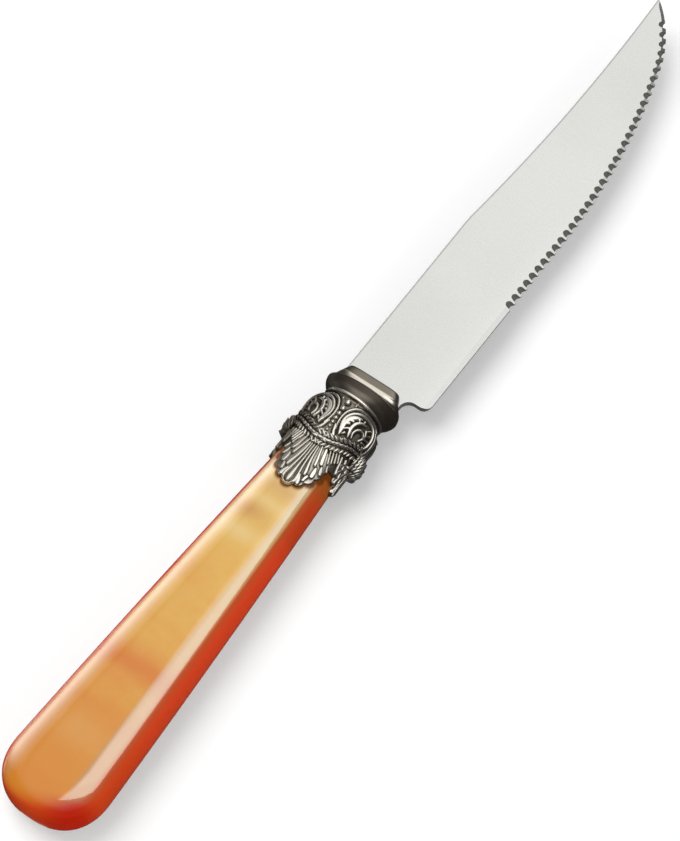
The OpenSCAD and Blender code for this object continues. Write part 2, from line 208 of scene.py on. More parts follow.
def ring_faces(rings: int, count: int, looped: bool) -> list[tuple[int, ...]]:
    """Joins rings of points into a tube.

    Args:
        rings: Number of rings, listed along the tube.
        count: Number of points in each ring.
        looped: Whether the last ring joins the first.

    Returns:
        The tube's four-sided faces.
    """
    faces = []
    for j in range(rings if looped else rings - 1):
        a, b = j * count, ((j + 1) % rings) * count
        for i in range(count):
            k = (i + 1) % count
            faces.append((a + i, b + i, b + k, a + k))
    return faces


def closed_tube(rings: int, count: int) -> list[tuple[int, ...]]:
    """Joins rings of points into a tube and closes both its ends.

    Args:
        rings: Number of rings, listed along the tube.
        count: Number of points in each ring.

    Returns:
        The tube's faces, with the first and the last ring's own face at the end.
    """
    last = (rings - 1) * count
    start, end = tuple(range(count)), tuple(range(last + count - 1, last - 1, -1))
    return [*ring_faces(rings, count, looped=False), start, end]


def add_values(mesh: bpy.types.Mesh, values: dict[str, Array]) -> None:
    """Gives a mesh named values, one for each point."""
    for key, value in values.items():
        layer = mesh.attributes.new(key, "FLOAT", "POINT")
        layer.data.foreach_set("value", np.asarray(value, np.float32))


def show(name: str, mesh: bpy.types.Mesh, crease: Optional[float] = None) -> bpy.types.Object:
    """Puts a mesh into the scene.

    Args:
        name: The object's name.
        mesh: Its mesh.
        crease: Angle in degrees from which an edge of a smooth piece stays sharp, or None to leave it flat.

    Returns:
        The object, at the origin of the row frame.
    """
    if crease is not None:
        mesh.shade_smooth()
        mesh.set_sharp_from_angle(angle=math.radians(crease))
    piece = bpy.data.objects.new(name, mesh)
    bpy.context.scene.collection.objects.link(piece)
    return piece


def make_piece(
    name: str,
    points: Array,
    faces: Sequence[tuple[int, ...]],
    values: Optional[dict[str, Array]] = None,
    crease: float = 50.0,
) -> bpy.types.Object:
    """Makes a smooth-shaded object from points about the knife's axis.

    Args:
        name: The object's name.
        points: Points in millimetres about the axis.
        faces: The faces, by point number.
        values: Named values for each point, which the material reads.
        crease: Angle in degrees from which an edge stays sharp.

    Returns:
        The object, at the origin of the row frame.
    """
    mesh = bpy.data.meshes.new(name)
    mesh.from_pydata(AXIS.place(points).tolist(), [], [list(f) for f in faces])
    mesh.update()
    add_values(mesh, values or {})
    return show(name, mesh, crease)


def dress(piece: bpy.types.Object, finish: bpy.types.Material) -> None:
    """Gives a piece one finish in place of any that it had."""
    piece.data.materials.clear()
    piece.data.materials.append(finish)
    LOG.info("%s: %d faces", piece.name, len(piece.data.polygons))


def settle(piece: bpy.types.Object, material: bpy.types.Material) -> bpy.types.Object:
    """Gives a piece its material and its body.

    Args:
        piece: The finished piece.
        material: The piece's finish.

    Returns:
        The same piece.
    """
    dress(piece, material)
    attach(piece, "root")
    return piece


class Canvas:
    """Places and joins the nodes of one tree."""

    def __init__(self, tree: bpy.types.NodeTree) -> None:
        """Takes the tree that the nodes go into."""
        self.tree = tree

    def node(self, kind: str, inputs: Optional[dict] = None, **settings: object) -> bpy.types.Node:
        """Adds a node.

        Args:
            kind: The node's type.
            inputs: Values or sockets for the node's inputs, by name or number.
            settings: The node's own settings.

        Returns:
            The new node.
        """
        made = self.tree.nodes.new(kind)
        for key, value in settings.items():
            setattr(made, key, value)
        for key, value in (inputs or {}).items():
            if isinstance(value, bpy.types.NodeSocket):
                self.tree.links.new(value, made.inputs[key])
            else:
                made.inputs[key].default_value = value
        return made

    def math(self, operation: str, *values: object) -> bpy.types.NodeSocket:
        """Adds a math node and returns its result."""
        return self.node("ShaderNodeMath", dict(enumerate(values)), operation=operation).outputs[0]

    def vector(self, operation: str, inputs: dict) -> bpy.types.NodeSocket:
        """Adds a vector math node and returns its result."""
        return self.node("ShaderNodeVectorMath", inputs, operation=operation).outputs[0]

    def coordinates(self, kind: str) -> Sequence[bpy.types.NodeSocket]:
        """Returns the X, Y and Z of a texture coordinate."""
        place = self.node("ShaderNodeTexCoord").outputs[kind]
        return self.node("ShaderNodeSeparateXYZ", {0: place}).outputs

    def attribute(self, name: str) -> bpy.types.NodeSocket:
        """Reads one of the mesh's point values in a material."""
        return self.node("ShaderNodeAttribute", attribute_name=name).outputs["Fac"]

    def named(self, name: str, data_type: str) -> bpy.types.NodeSocket:
        """Reads a named value of the points in a geometry tree."""
        kind = "GeometryNodeInputNamedAttribute"
        return self.node(kind, {"Name": name}, data_type=data_type).outputs["Attribute"]

    def noise(self, place: object, scale: float, **inputs: float) -> bpy.types.NodeSocket:
        """Adds a noise texture and returns its value."""
        named = {key.capitalize(): value for key, value in inputs.items()}
        return self.node("ShaderNodeTexNoise", {"Vector": place, "Scale": scale, **named}).outputs[0]

    def blend(self, share: object, low: object, high: object) -> bpy.types.NodeSocket:
        """Blends two colours by a share and returns the result."""
        return self.node("ShaderNodeMix", {0: share, 6: low, 7: high}, data_type="RGBA").outputs[2]

    def remap(
        self, value: object, low: float, high: float, start: float = 0.0, end: float = 1.0
    ) -> bpy.types.NodeSocket:
        """Eases a value from start at low to end at high and returns the result."""
        ends = {"Value": value, "From Min": low, "From Max": high, "To Min": start, "To Max": end}
        return self.node("ShaderNodeMapRange", ends, interpolation_type="SMOOTHSTEP").outputs[0]

    def fade(
        self, value: object, low: float, high: float, start: object, end: object
    ) -> bpy.types.NodeSocket:
        """Eases from the colour start, where a value is low, to the colour end, and returns the result."""
        return self.blend(self.remap(value, low, high), start, end)

    def surface(
        self, inputs: dict, height: object = None, strength: float = 0.0, depth: float = 0.1 * MM
    ) -> None:
        """Adds the surface shader and joins it to the material's output.

        Args:
            inputs: Values or sockets for the shader's inputs.
            height: Fine relief, or None for a smooth surface.
            strength: How strongly the relief shows.
            depth: How deep the relief is, in metres.
        """
        if height is not None:
            marks = {"Strength": strength, "Distance": depth, "Height": height}
            inputs = {**inputs, "Normal": self.node("ShaderNodeBump", marks).outputs[0]}
        shader = self.node("ShaderNodeBsdfPrincipled", inputs)
        self.node("ShaderNodeOutputMaterial", {"Surface": shader.outputs[0]})


def new_material(name: str) -> tuple[bpy.types.Material, Canvas]:
    """Makes an empty node material and the canvas for its tree."""
    material = bpy.data.materials.new(name)
    material.use_nodes = True
    material.node_tree.nodes.clear()
    return material, Canvas(material.node_tree)


def new_group(name: str, kind: str, inputs: dict[str, tuple[str, object]], outputs: dict[str, str]) -> Canvas:
    """Makes a node group with named sockets.

    Args:
        name: The group's name.
        kind: The tree's type.
        inputs: Socket type and default of each input, by name.
        outputs: Socket type of each output, by name.

    Returns:
        The canvas for the group's tree.
    """
    tree = bpy.data.node_groups.new(name, kind)
    for key, (socket_type, value) in inputs.items():
        socket = tree.interface.new_socket(name=key, in_out="INPUT", socket_type=socket_type)
        if value is not None:
            socket.default_value = value
    for key, socket_type in outputs.items():
        tree.interface.new_socket(name=key, in_out="OUTPUT", socket_type=socket_type)
    return Canvas(tree)


FLOAT = "NodeSocketFloat"
SHAPE = "NodeSocketGeometry"
OBJECT = "NodeSocketObject"
FINISH = "NodeSocketMaterial"


def build_grain_group() -> bpy.types.NodeTree:
    """Builds the shader group of fine marks that the metals and the tang cement share.

    Returns:
        The group, which puts out a slow tone and a fine grain, both from 0 to 1.
    """
    canvas = new_group(
        "surface_grain",
        "ShaderNodeTree",
        {"Along": (FLOAT, 1.0), "Across": (FLOAT, 1.0), "Tone Scale": (FLOAT, 1.0)},
        {"Tone": FLOAT, "Grain": FLOAT},
    )
    sockets = canvas.node("NodeGroupInput").outputs
    place = canvas.node("ShaderNodeTexCoord").outputs["Object"]
    split = canvas.node("ShaderNodeSeparateXYZ", {0: place}).outputs
    stretched = canvas.node(
        "ShaderNodeCombineXYZ",
        {
            "X": canvas.math("MULTIPLY", split[0], sockets["Along"]),
            "Y": canvas.math("MULTIPLY", split[1], sockets["Across"]),
            "Z": canvas.math("MULTIPLY", split[2], sockets["Across"]),
        },
    ).outputs[0]
    grain = canvas.noise(stretched, 1000.0, detail=3.0)
    tone = canvas.noise(place, sockets["Tone Scale"], detail=2.0, roughness=0.55)
    canvas.node("NodeGroupOutput", {"Tone": tone, "Grain": grain})
    return canvas.tree


GRAIN = build_grain_group()


def grain_node(
    canvas: Canvas, along: float, across: float, tone_scale: float
) -> Sequence[bpy.types.NodeSocket]:
    """Places the shared grain group in a material with its own scales and returns the Tone and the Grain.

    Args:
        canvas: The material's canvas.
        along: How closely the grain is packed along the knife.
        across: How closely it is packed across the knife.
        tone_scale: How closely the slow changes of tone are packed.

    Returns:
        The Tone and the Grain.
    """
    group = canvas.node("ShaderNodeGroup", node_tree=GRAIN)
    for key, value in {"Along": along, "Across": across, "Tone Scale": tone_scale}.items():
        group.inputs[key].default_value = value
    return group.outputs


@dataclass(frozen=True)
class GroundSteel:
    """Satin steel with fine grinding lines across the blade."""

    name: str = "ground_blade_steel"
    light: Point = linear(229, 230, 226)
    shade: Point = linear(222, 222, 218)
    bright: Point = linear(239, 240, 236)
    painted_spine_shade: Point = linear(170, 170, 167)
    painted_wall_shade: Point = linear(121, 118, 112)
    cut_metal: float = 0.4
    roughness: float = 0.24
    cut_roughness: float = 0.5
    painted_spine_shade_width: float = 0.0005
    painted_highlight_start: float = 0.014
    painted_highlight_end: float = 0.025
    last_tooth: float = 0.1101
    tip_fade: float = 0.0006
    tip_share: float = 0.3
    grain_strength: float = 0.006

    def below_spine(self, canvas: Canvas, place: Sequence[bpy.types.NodeSocket], spine: Array) -> object:
        """Adds nodes that work out how far a place lies below the spine.

        Args:
            canvas: The material's canvas.
            place: The place's X, Y and Z.
            spine: Evenly spaced places along the spine, each with its height.

        Returns:
            The distance in metres.
        """
        low, high = spine.min(axis=0), spine.max(axis=0)
        ends = {"Value": place[0], "From Min": float(low[0]), "From Max": float(high[0])}
        share = canvas.node("ShaderNodeMapRange", ends).outputs[0]
        line = canvas.node("ShaderNodeFloatCurve", {"Value": share})
        knots = line.mapping.curves[0].points
        places = (spine - low) / (high - low)
        knots[0].location = places[0]
        knots[-1].location = places[-1]
        for at, height in places[1:-1]:
            knots.new(float(at), float(height))
        line.mapping.update()
        height = canvas.math("MULTIPLY_ADD", line.outputs[0], float(high[1] - low[1]), float(low[1]))
        return canvas.math("SUBTRACT", height, place[1])

    def material(self, spine: Array) -> bpy.types.Material:
        """Builds the finish, with the walls that the wheel ground below and between the teeth left rougher,
        less metallic and darkened with painted shade, a painted highlight towards the edge and a painted
        shade line along the spine.

        Args:
            spine: Evenly spaced places along the spine, each with its height.

        Returns:
            The blade's material.
        """
        material, canvas = new_material(self.name)
        grain = grain_node(canvas, along=9.0, across=0.35, tone_scale=25.0)
        place = canvas.coordinates("Object")
        facing = canvas.coordinates("Normal")
        below = self.below_spine(canvas, place, spine)
        # The ground walls get painted shade as well as a rougher, less metallic finish; the painted shade
        # fades past the last tooth.
        steep = canvas.remap(canvas.math("ABSOLUTE", facing[2]), 0.6, 0.8, 1.0, 0.0)
        walls = canvas.math("MULTIPLY", steep, canvas.remap(facing[1], 0.3, 0.6, 1.0, 0.0))
        along_teeth = canvas.remap(place[0], self.last_tooth, self.last_tooth + self.tip_fade, 1.0, self.tip_share)
        walls = canvas.math("MULTIPLY", walls, along_teeth)
        colour = canvas.fade(grain["Tone"], 0.3, 0.7, self.shade, self.light)
        # Painted highlight: the steel is painted lighter with distance below the spine, towards the edge.
        colour = canvas.fade(below, self.painted_highlight_start, self.painted_highlight_end, colour, self.bright)
        # Painted shade: a darker line is painted along the spine.
        colour = canvas.fade(below, 0.0, self.painted_spine_shade_width, self.painted_spine_shade, colour)
        rough = canvas.remap(grain["Grain"], 0.2, 0.8, self.roughness - 0.03, self.roughness + 0.05)
        dull = canvas.math("SUBTRACT", self.cut_roughness, rough)
        inputs = {
            "Base Color": canvas.blend(walls, colour, self.painted_wall_shade),
            "Metallic": canvas.math("MULTIPLY_ADD", walls, self.cut_metal - 1.0, 1.0),
            "Roughness": canvas.math("MULTIPLY_ADD", walls, dull, rough),
        }
        canvas.surface(inputs, grain["Grain"], self.grain_strength)
        return material


@dataclass(frozen=True)
class AntiqueCasting:
    """Cast white metal, darkened in its hollows and rubbed bright on its high parts.

    The worn shares say where the dark tone ends, where the middle tone lies and where the bright one starts.
    """

    name: str
    dark: Point
    middle: Point
    bright: Point
    dark_roughness: float = 0.5
    bright_roughness: float = 0.24
    worn_shares: Point = (0.08, 0.34, 0.72)
    tone_scale: float = 260.0
    unevenness: float = 0.3
    grain_strength: float = 0.1
    spine_painted_shade_factor: float = 0.38
    spine_painted_shade_span: Point = (0.003, 0.0085)

    def material(self) -> bpy.types.Material:
        """Builds the finish, which reads the point value named worn and darkens the spine side with painted
        shade.

        Returns:
            The casting's material.
        """
        material, canvas = new_material(self.name)
        grain = grain_node(canvas, along=2.6, across=2.6, tone_scale=self.tone_scale)
        across = canvas.coordinates("Object")[1]
        # Painted shade: the metal is painted darker towards the spine side.
        shaded = canvas.remap(across, *self.spine_painted_shade_span, 1.0, self.spine_painted_shade_factor)
        worn = canvas.math("MULTIPLY", canvas.attribute("worn"), shaded)
        drift = canvas.math("SUBTRACT", grain["Tone"], 0.5)
        uneven = canvas.math("MULTIPLY_ADD", drift, self.unevenness, worn)
        low, ground, high = self.worn_shares
        colour = canvas.fade(uneven, low, ground, self.dark, self.middle)
        inputs = {
            "Base Color": canvas.fade(uneven, ground, high, colour, self.bright),
            "Metallic": canvas.remap(uneven, low, ground, 0.75, 1.0),
            "Roughness": canvas.remap(uneven, low, high, self.dark_roughness, self.bright_roughness),
        }
        canvas.surface(inputs, grain["Grain"], self.grain_strength)
        return material


@dataclass(frozen=True)
class PearlResin:
    """Pearly amber resin that deepens to red round its edge, under a clear gloss, with painted shade, painted
    shadow and a painted reflection.
    """

    name: str = "pearl_amber_resin"
    amber: Point = linear(211, 134, 42)
    honey: Point = linear(224, 181, 92)
    cream: Point = linear(232, 216, 170)
    ember: Point = linear(208, 107, 35)
    edge_brown: Point = linear(182, 62, 24)
    edge_orange: Point = linear(212, 66, 30)
    edge_red: Point = linear(206, 66, 22)
    edge_deep: Point = linear(186, 32, 5)
    seam: Point = linear(172, 84, 38)
    collar_painted_shade: Point = linear(146, 86, 28)
    dusk: Point = linear(184, 120, 78)
    painted_side_shade: Point = linear(162, 148, 124)
    painted_side_shade_share: float = 0.45
    painted_contact_shadow: Point = linear(104, 52, 18)
    bounce: Point = linear(176, 172, 168)
    bounce_share: float = 0.8

    def face(self, canvas: Canvas, drift: object, flow: object) -> bpy.types.NodeSocket:
        """Adds the colour of the broad faces, with their clouds, a paler band at the collar end that is a
        painted reflection, and painted shade where they turn away.

        Args:
            canvas: The material's canvas.
            drift: Share of the way to the butt, made uneven.
            flow: The clouds' noise.

        Returns:
            The colour.
        """
        pale = canvas.math("MULTIPLY", canvas.attribute("pale"), canvas.remap(flow, 0.3, 0.6, 0.75, 1.0))
        veil = canvas.math("MULTIPLY", canvas.attribute("veil"), canvas.remap(flow, 0.35, 0.6, 1.0, 0.7))
        # Painted shade on the sides of the faces that turn away.
        painted_side_shade = canvas.math("MULTIPLY", canvas.attribute("painted_side_shade"), self.painted_side_shade_share)
        colour = canvas.fade(drift, 0.12, 1.0, self.honey, self.amber)
        for share, tint in (
            (pale, self.cream), (veil, self.ember), (canvas.attribute("dusk"), self.dusk), (painted_side_shade, self.painted_side_shade),
        ):
            colour = canvas.blend(share, colour, tint)
        return colour

    def edge(self, canvas: Canvas, drift: object) -> bpy.types.NodeSocket:
        """Adds the red of the sides and the butt, with painted shade near the collar, and returns it.

        Args:
            canvas: The material's canvas.
            drift: Share of the way to the butt, made uneven.

        Returns:
            The colour.
        """
        colour = canvas.fade(drift, 0.05, 0.3, self.edge_brown, self.edge_orange)
        colour = canvas.fade(drift, 0.5, 0.95, colour, self.edge_red)
        # The red near the collar is browned with painted shade.
        for key, tint in (("deep", self.edge_deep), ("seam", self.seam), ("collar_painted_shade", self.collar_painted_shade)):
            colour = canvas.blend(canvas.attribute(key), colour, tint)
        return colour

    def material(self) -> bpy.types.Material:
        """Builds the finish, which reads the handle's point values.

        Returns:
            The handle's material.
        """
        material, canvas = new_material(self.name)
        place = canvas.node("ShaderNodeTexCoord").outputs["Object"]
        stretch = {"Vector": place, "Scale": (1.0, 0.3, 0.3), "Rotation": (0, 0, 0.2)}
        bands = canvas.node("ShaderNodeMapping", stretch).outputs[0]
        flow = canvas.noise(bands, 90.0, detail=3.0, distortion=0.4)
        fleck = canvas.noise(place, 420.0, detail=2.0)
        drift = canvas.attribute("along")
        for cloud, strength in ((flow, 0.5), (fleck, 0.16)):
            drift = canvas.math("MULTIPLY_ADD", canvas.math("SUBTRACT", cloud, 0.5), strength, drift)
        painted_contact_shadow = canvas.attribute("painted_contact_shadow")
        face, edge = self.face(canvas, drift, flow), self.edge(canvas, drift)
        # Painted shadow: the resin is painted dark round the collar's leaves, where it also loses its gloss.
        resin = canvas.blend(painted_contact_shadow, canvas.blend(canvas.attribute("rim"), face, edge), self.painted_contact_shadow)
        spilt = canvas.node("ShaderNodeLightPath").outputs["Is Diffuse Ray"]
        spilt = canvas.math("MULTIPLY", spilt, self.bounce_share)
        canvas.surface({
            "Base Color": canvas.blend(spilt, resin, self.bounce),
            "Roughness": 0.45,
            "Specular IOR Level": 0.0,
            "Coat Weight": canvas.math("SUBTRACT", 1.0, painted_contact_shadow),
            "Coat Roughness": 0.03,
            "Coat IOR": 1.55,
        })
        return material


@dataclass(frozen=True)
class TangCement:
    """Chalky cement round the tang inside the handle."""

    name: str = "tang_cement_filling"
    pale: Point = linear(196, 186, 164)
    dull: Point = linear(166, 154, 132)

    def material(self) -> bpy.types.Material:
        """Builds the finish."""
        material, canvas = new_material(self.name)
        grain = grain_node(canvas, along=1.2, across=1.2, tone_scale=300.0)
        colour = canvas.blend(grain["Tone"], self.dull, self.pale)
        inputs = {"Base Color": colour, "Roughness": 0.85}
        canvas.surface(inputs, grain["Grain"], strength=0.4, depth=0.2 * MM)
        return material


@dataclass
class Handle:
    """Moulded handle: a flat-faced taper that ends in a half-round butt, bored for the tang."""

    shoulder_x: float = -16.4
    length: float = 94.5
    shoulder_half_width: float = 6.95
    shoulder_half_thickness: float = 5.4
    butt_half_width: float = 11.5
    butt_half_thickness: float = 5.7
    side_bow: float = 0.3
    butt_plan_power: float = 2.35
    axis_drift: float = -0.3
    shoulder_square_share: float = 0.09
    butt_square_share: float = 0.33
    spigot_radius: float = 4.6
    spigot_length: float = 8.0
    bore_radius: float = 3.0
    bore_depth: float = 66.0
    around: int = 240
    taper_step: float = 0.7
    fine_step: float = 0.25
    fine_length: float = 10.0
    shoulder_rim_rise: float = 0.81
    cap_rim_rise: float = 0.865
    spine_rim_rise: float = 0.68
    butt_rim_rise: float = 0.96
    side_rim_softness: float = 0.08
    butt_rim_softness: float = 0.5
    butt_rim_lean: float = 0.45
    butt_fade: Point = (0.3, 0.9)
    spine_fade: Point = (-0.3, 0.6)
    deep_behind: Point = (0.15, 0.65)
    deep_across: Point = (0.0, 0.7)
    edge_side_painted_shade: Point = (0.42, 0.54)
    spine_facing_painted_shade: Point = (0.5, 0.65)
    spine_facing_painted_shade_strength: float = 0.4
    seam_strength: float = 0.6
    seam_place: float = 1.3
    seam_reach: float = 0.9
    painted_contact_shadow_strength: float = 0.9
    painted_contact_shadow_reach: float = 0.42
    painted_contact_shadow_core: float = 0.15
    veils: tuple[Point, ...] = (
        (-74.3, 3.3, 0.0, 40.0, 0.85), (-86.0, 2.6, 0.0, 40.0, 0.3), (-78.5, 2.2, 2.0, 5.0, 0.35),
        (-107.0, 3.5, 0.0, 40.0, 0.25), (-50.5, 3.0, 4.0, 5.0, 0.22),
    )
    # The first band, at the collar end, is a painted reflection.
    pale_bands: tuple[Point, ...] = (
        (-20.0, 7.0, 0.0, 40.0, 0.42), (-38.0, 2.0, 2.0, 6.0, 0.34), (-29.5, 1.8, 0.0, 7.0, 0.3),
        (-92.0, 4.0, 0.0, 7.0, 0.08),
    )
    dusks: tuple[Point, ...] = (
        (-32.9, 2.1, 2.6, 4.4, 0.52), (-33.6, 2.4, 0.0, 9.0, 0.2), (-25.4, 2.4, -1.0, 8.0, 0.34),
        (-19.0, 3.0, 0.0, 40.0, 0.55),
    )
    collar_painted_shade_strength: float = 0.85
    collar_painted_shade_start: float = -25.0
    collar_painted_shade_end: float = -17.5

    @property
    def butt_x(self) -> float:
        """Place of the butt's end."""
        return self.shoulder_x - self.length

    @property
    def cap_x(self) -> float:
        """Place where the round butt starts."""
        return self.butt_x + self.butt_half_width

    def sizes(self, x: Array) -> tuple[Array, Array, Array]:
        """Returns the half width, half thickness and square share of the taper at each place."""
        u = (self.shoulder_x - np.asarray(x, float)) / (self.shoulder_x - self.cap_x)
        return (
            between(self.shoulder_half_width, self.butt_half_width, u) + 4 * self.side_bow * u * (1 - u),
            between(self.shoulder_half_thickness, self.butt_half_thickness, u),
            between(self.shoulder_square_share, self.butt_square_share, u),
        )

    def butt_ring(self, angle: float) -> Array:
        """Makes the butt's section at an angle in radians behind the start of the round.

        Args:
            angle: 0 at the start of the round butt, towards a quarter turn at its end.

        Returns:
            The section's points.
        """
        plan = self.butt_plan_power
        back, reach = math.sin(angle) ** (2 / plan), math.cos(angle) ** (2 / plan)
        side = reach * np.sin(WHOLE_TURN)
        share = (back**plan + np.abs(side) ** plan) ** (1 / plan)
        power = 2 / (1 - self.butt_square_share)
        top = np.maximum(0, 1 - share**power)
        z = self.butt_half_thickness * np.sign(np.cos(WHOLE_TURN)) * top ** (1 / power)
        x = np.full_like(side, self.cap_x - self.butt_half_width * back)
        y = self.butt_half_width * side + self.axis_drift
        return spread(np.column_stack([x, y, z]), self.around)

    def off_axis(self, x: Array) -> Array:
        """Returns how far the moulding has drifted to the side at each place."""
        return np.interp(x, (self.cap_x, self.shoulder_x), (self.axis_drift, 0.0))

    def build(self) -> bpy.types.Object:
        """Makes the handle, from the butt over the taper and spigot and back down the bore.

        Returns:
            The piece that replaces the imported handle.
        """
        angles = (*range(88, 60, -2), *range(60, 0, -3))
        rings = [self.butt_ring(math.radians(angle)) for angle in angles]
        fine_x = self.shoulder_x - self.fine_length
        steps = round((fine_x - self.cap_x) / self.taper_step)
        coarse = np.linspace(self.cap_x, fine_x, steps, endpoint=False)
        fine = np.linspace(fine_x, self.shoulder_x, round(self.fine_length / self.fine_step))
        for x in (*coarse, *fine):
            ring = oval_ring(x, *(float(size) for size in self.sizes(x)), self.around)
            rings.append(ring + (0.0, float(self.off_axis(x)), 0.0))
        spigot_x = self.shoulder_x + self.spigot_length
        rings += round_rings([
            (self.shoulder_x, self.spigot_radius), (spigot_x, self.spigot_radius),
            (spigot_x, self.bore_radius), (-self.bore_depth, self.bore_radius),
        ], self.around)
        points = np.concatenate(rings)
        faces = ring_faces(len(rings), self.around, looped=False)
        last = (len(rings) - 1) * self.around
        butt, end = len(points), len(points) + 1
        points = np.concatenate([points, [(self.butt_x, self.axis_drift, 0), (-self.bore_depth, 0, 0)]])
        for i in range(self.around):
            k = (i + 1) % self.around
            faces.append((butt, i, k))
            faces.append((end, last + k, last + i))
        piece = make_piece("handle_moulding", points, faces, self.tints(points))
        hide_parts("handle")
        return settle(piece, PearlResin().material())

    def tints(self, points: Array) -> dict[str, Array]:
        """Works out where the resin turns red, pale, orange or dusky, where painted shade falls and where
        painted shadow turns it brown.

        Args:
            points: The handle's points.

        Returns:
            The value of each tint at each point, from 0 to 1.
        """
        x, y, z = points.T
        ends = (self.cap_x, self.shoulder_x)
        rise = np.abs(z) / np.interp(x, ends, (self.butt_half_thickness, self.shoulder_half_thickness))
        behind, across = (self.cap_x - x) / self.butt_half_width, y / self.butt_half_width
        butt_share = smooth_share(behind, *self.butt_fade)
        start = np.interp(x, ends, (self.cap_rim_rise, self.shoulder_rim_rise))
        start = between(start, self.spine_rim_rise, smooth_share(across, *self.spine_fade))
        start = between(start, self.butt_rim_rise - self.butt_rim_lean * across, butt_share)
        soft = between(self.side_rim_softness, self.butt_rim_softness, butt_share)
        below = (start - rise) / self.side_rim_softness
        seam = np.exp(-(((below - self.seam_place) / self.seam_reach) ** 2))
        side = y / np.maximum(self.sizes(x)[0], 1.0)
        # Painted shade where the faces turn away, towards the edge side and the spine side.
        edge_side_painted_shade = smooth_share(-side, *self.edge_side_painted_shade)
        spine_facing_painted_shade = self.spine_facing_painted_shade_strength * smooth_share(side, *self.spine_facing_painted_shade)
        return {
            "rim": smooth_share((start - rise) / soft, 0.0, 1.0),
            "seam": self.seam_strength * seam * (1 - butt_share) * (y < 0),
            # Painted shade on the red near the collar.
            "collar_painted_shade": self.collar_painted_shade_strength * smooth_share(x, self.collar_painted_shade_start, self.collar_painted_shade_end),
            "deep": smooth_share(behind, *self.deep_behind) * smooth_share(-across, *self.deep_across),
            "along": (self.shoulder_x - x) / self.length,
            "pale": self.spots(x, y, self.pale_bands),
            "veil": self.spots(x, y, self.veils),
            "dusk": self.spots(x, y, self.dusks),
            "painted_side_shade": np.maximum(edge_side_painted_shade, spine_facing_painted_shade),
            "painted_contact_shadow": self.painted_contact_shadows(x, y, z),
        }

    def spots(self, x: Array, y: Array, places: Sequence[Point]) -> Array:
        """Joins soft spots, each a place and reach along, a place and reach across, and a strength.

        Args:
            x: Each point's place along the axis.
            y: Each point's place across it.
            places: The spots.

        Returns:
            The strongest spot's share at each point.
        """
        total = np.zeros(len(x))
        for along, along_reach, across, across_reach, strength in places:
            far = ((x - along) / along_reach) ** 2 + ((y - across) / across_reach) ** 2
            total = np.maximum(total, strength * np.exp(-far))
        return total

    def painted_contact_shadows(self, x: Array, y: Array, z: Array) -> Array:
        """Finds the painted contact shadow on the resin round the collar's leaves.

        Args:
            x: Each point's place along the axis.
            y: Each point's place towards the spine.
            z: Each point's height over the axis.

        Returns:
            The painted shadow's share at each point.
        """
        painted_contact_shadow = np.zeros(len(x))
        for leaf, off in ((PALMETTE_LEAF, y), (SIDE_LEAF, z)):
            back = leaf.root_x - x
            gap = np.hypot(back, off) - leaf.reach(np.degrees(np.arctan2(off, back)))
            outside = np.maximum(gap - self.painted_contact_shadow_core, 0) / self.painted_contact_shadow_reach
            painted_contact_shadow = np.maximum(painted_contact_shadow, (back > 0) * np.exp(-(outside**2)))
        return self.painted_contact_shadow_strength * painted_contact_shadow


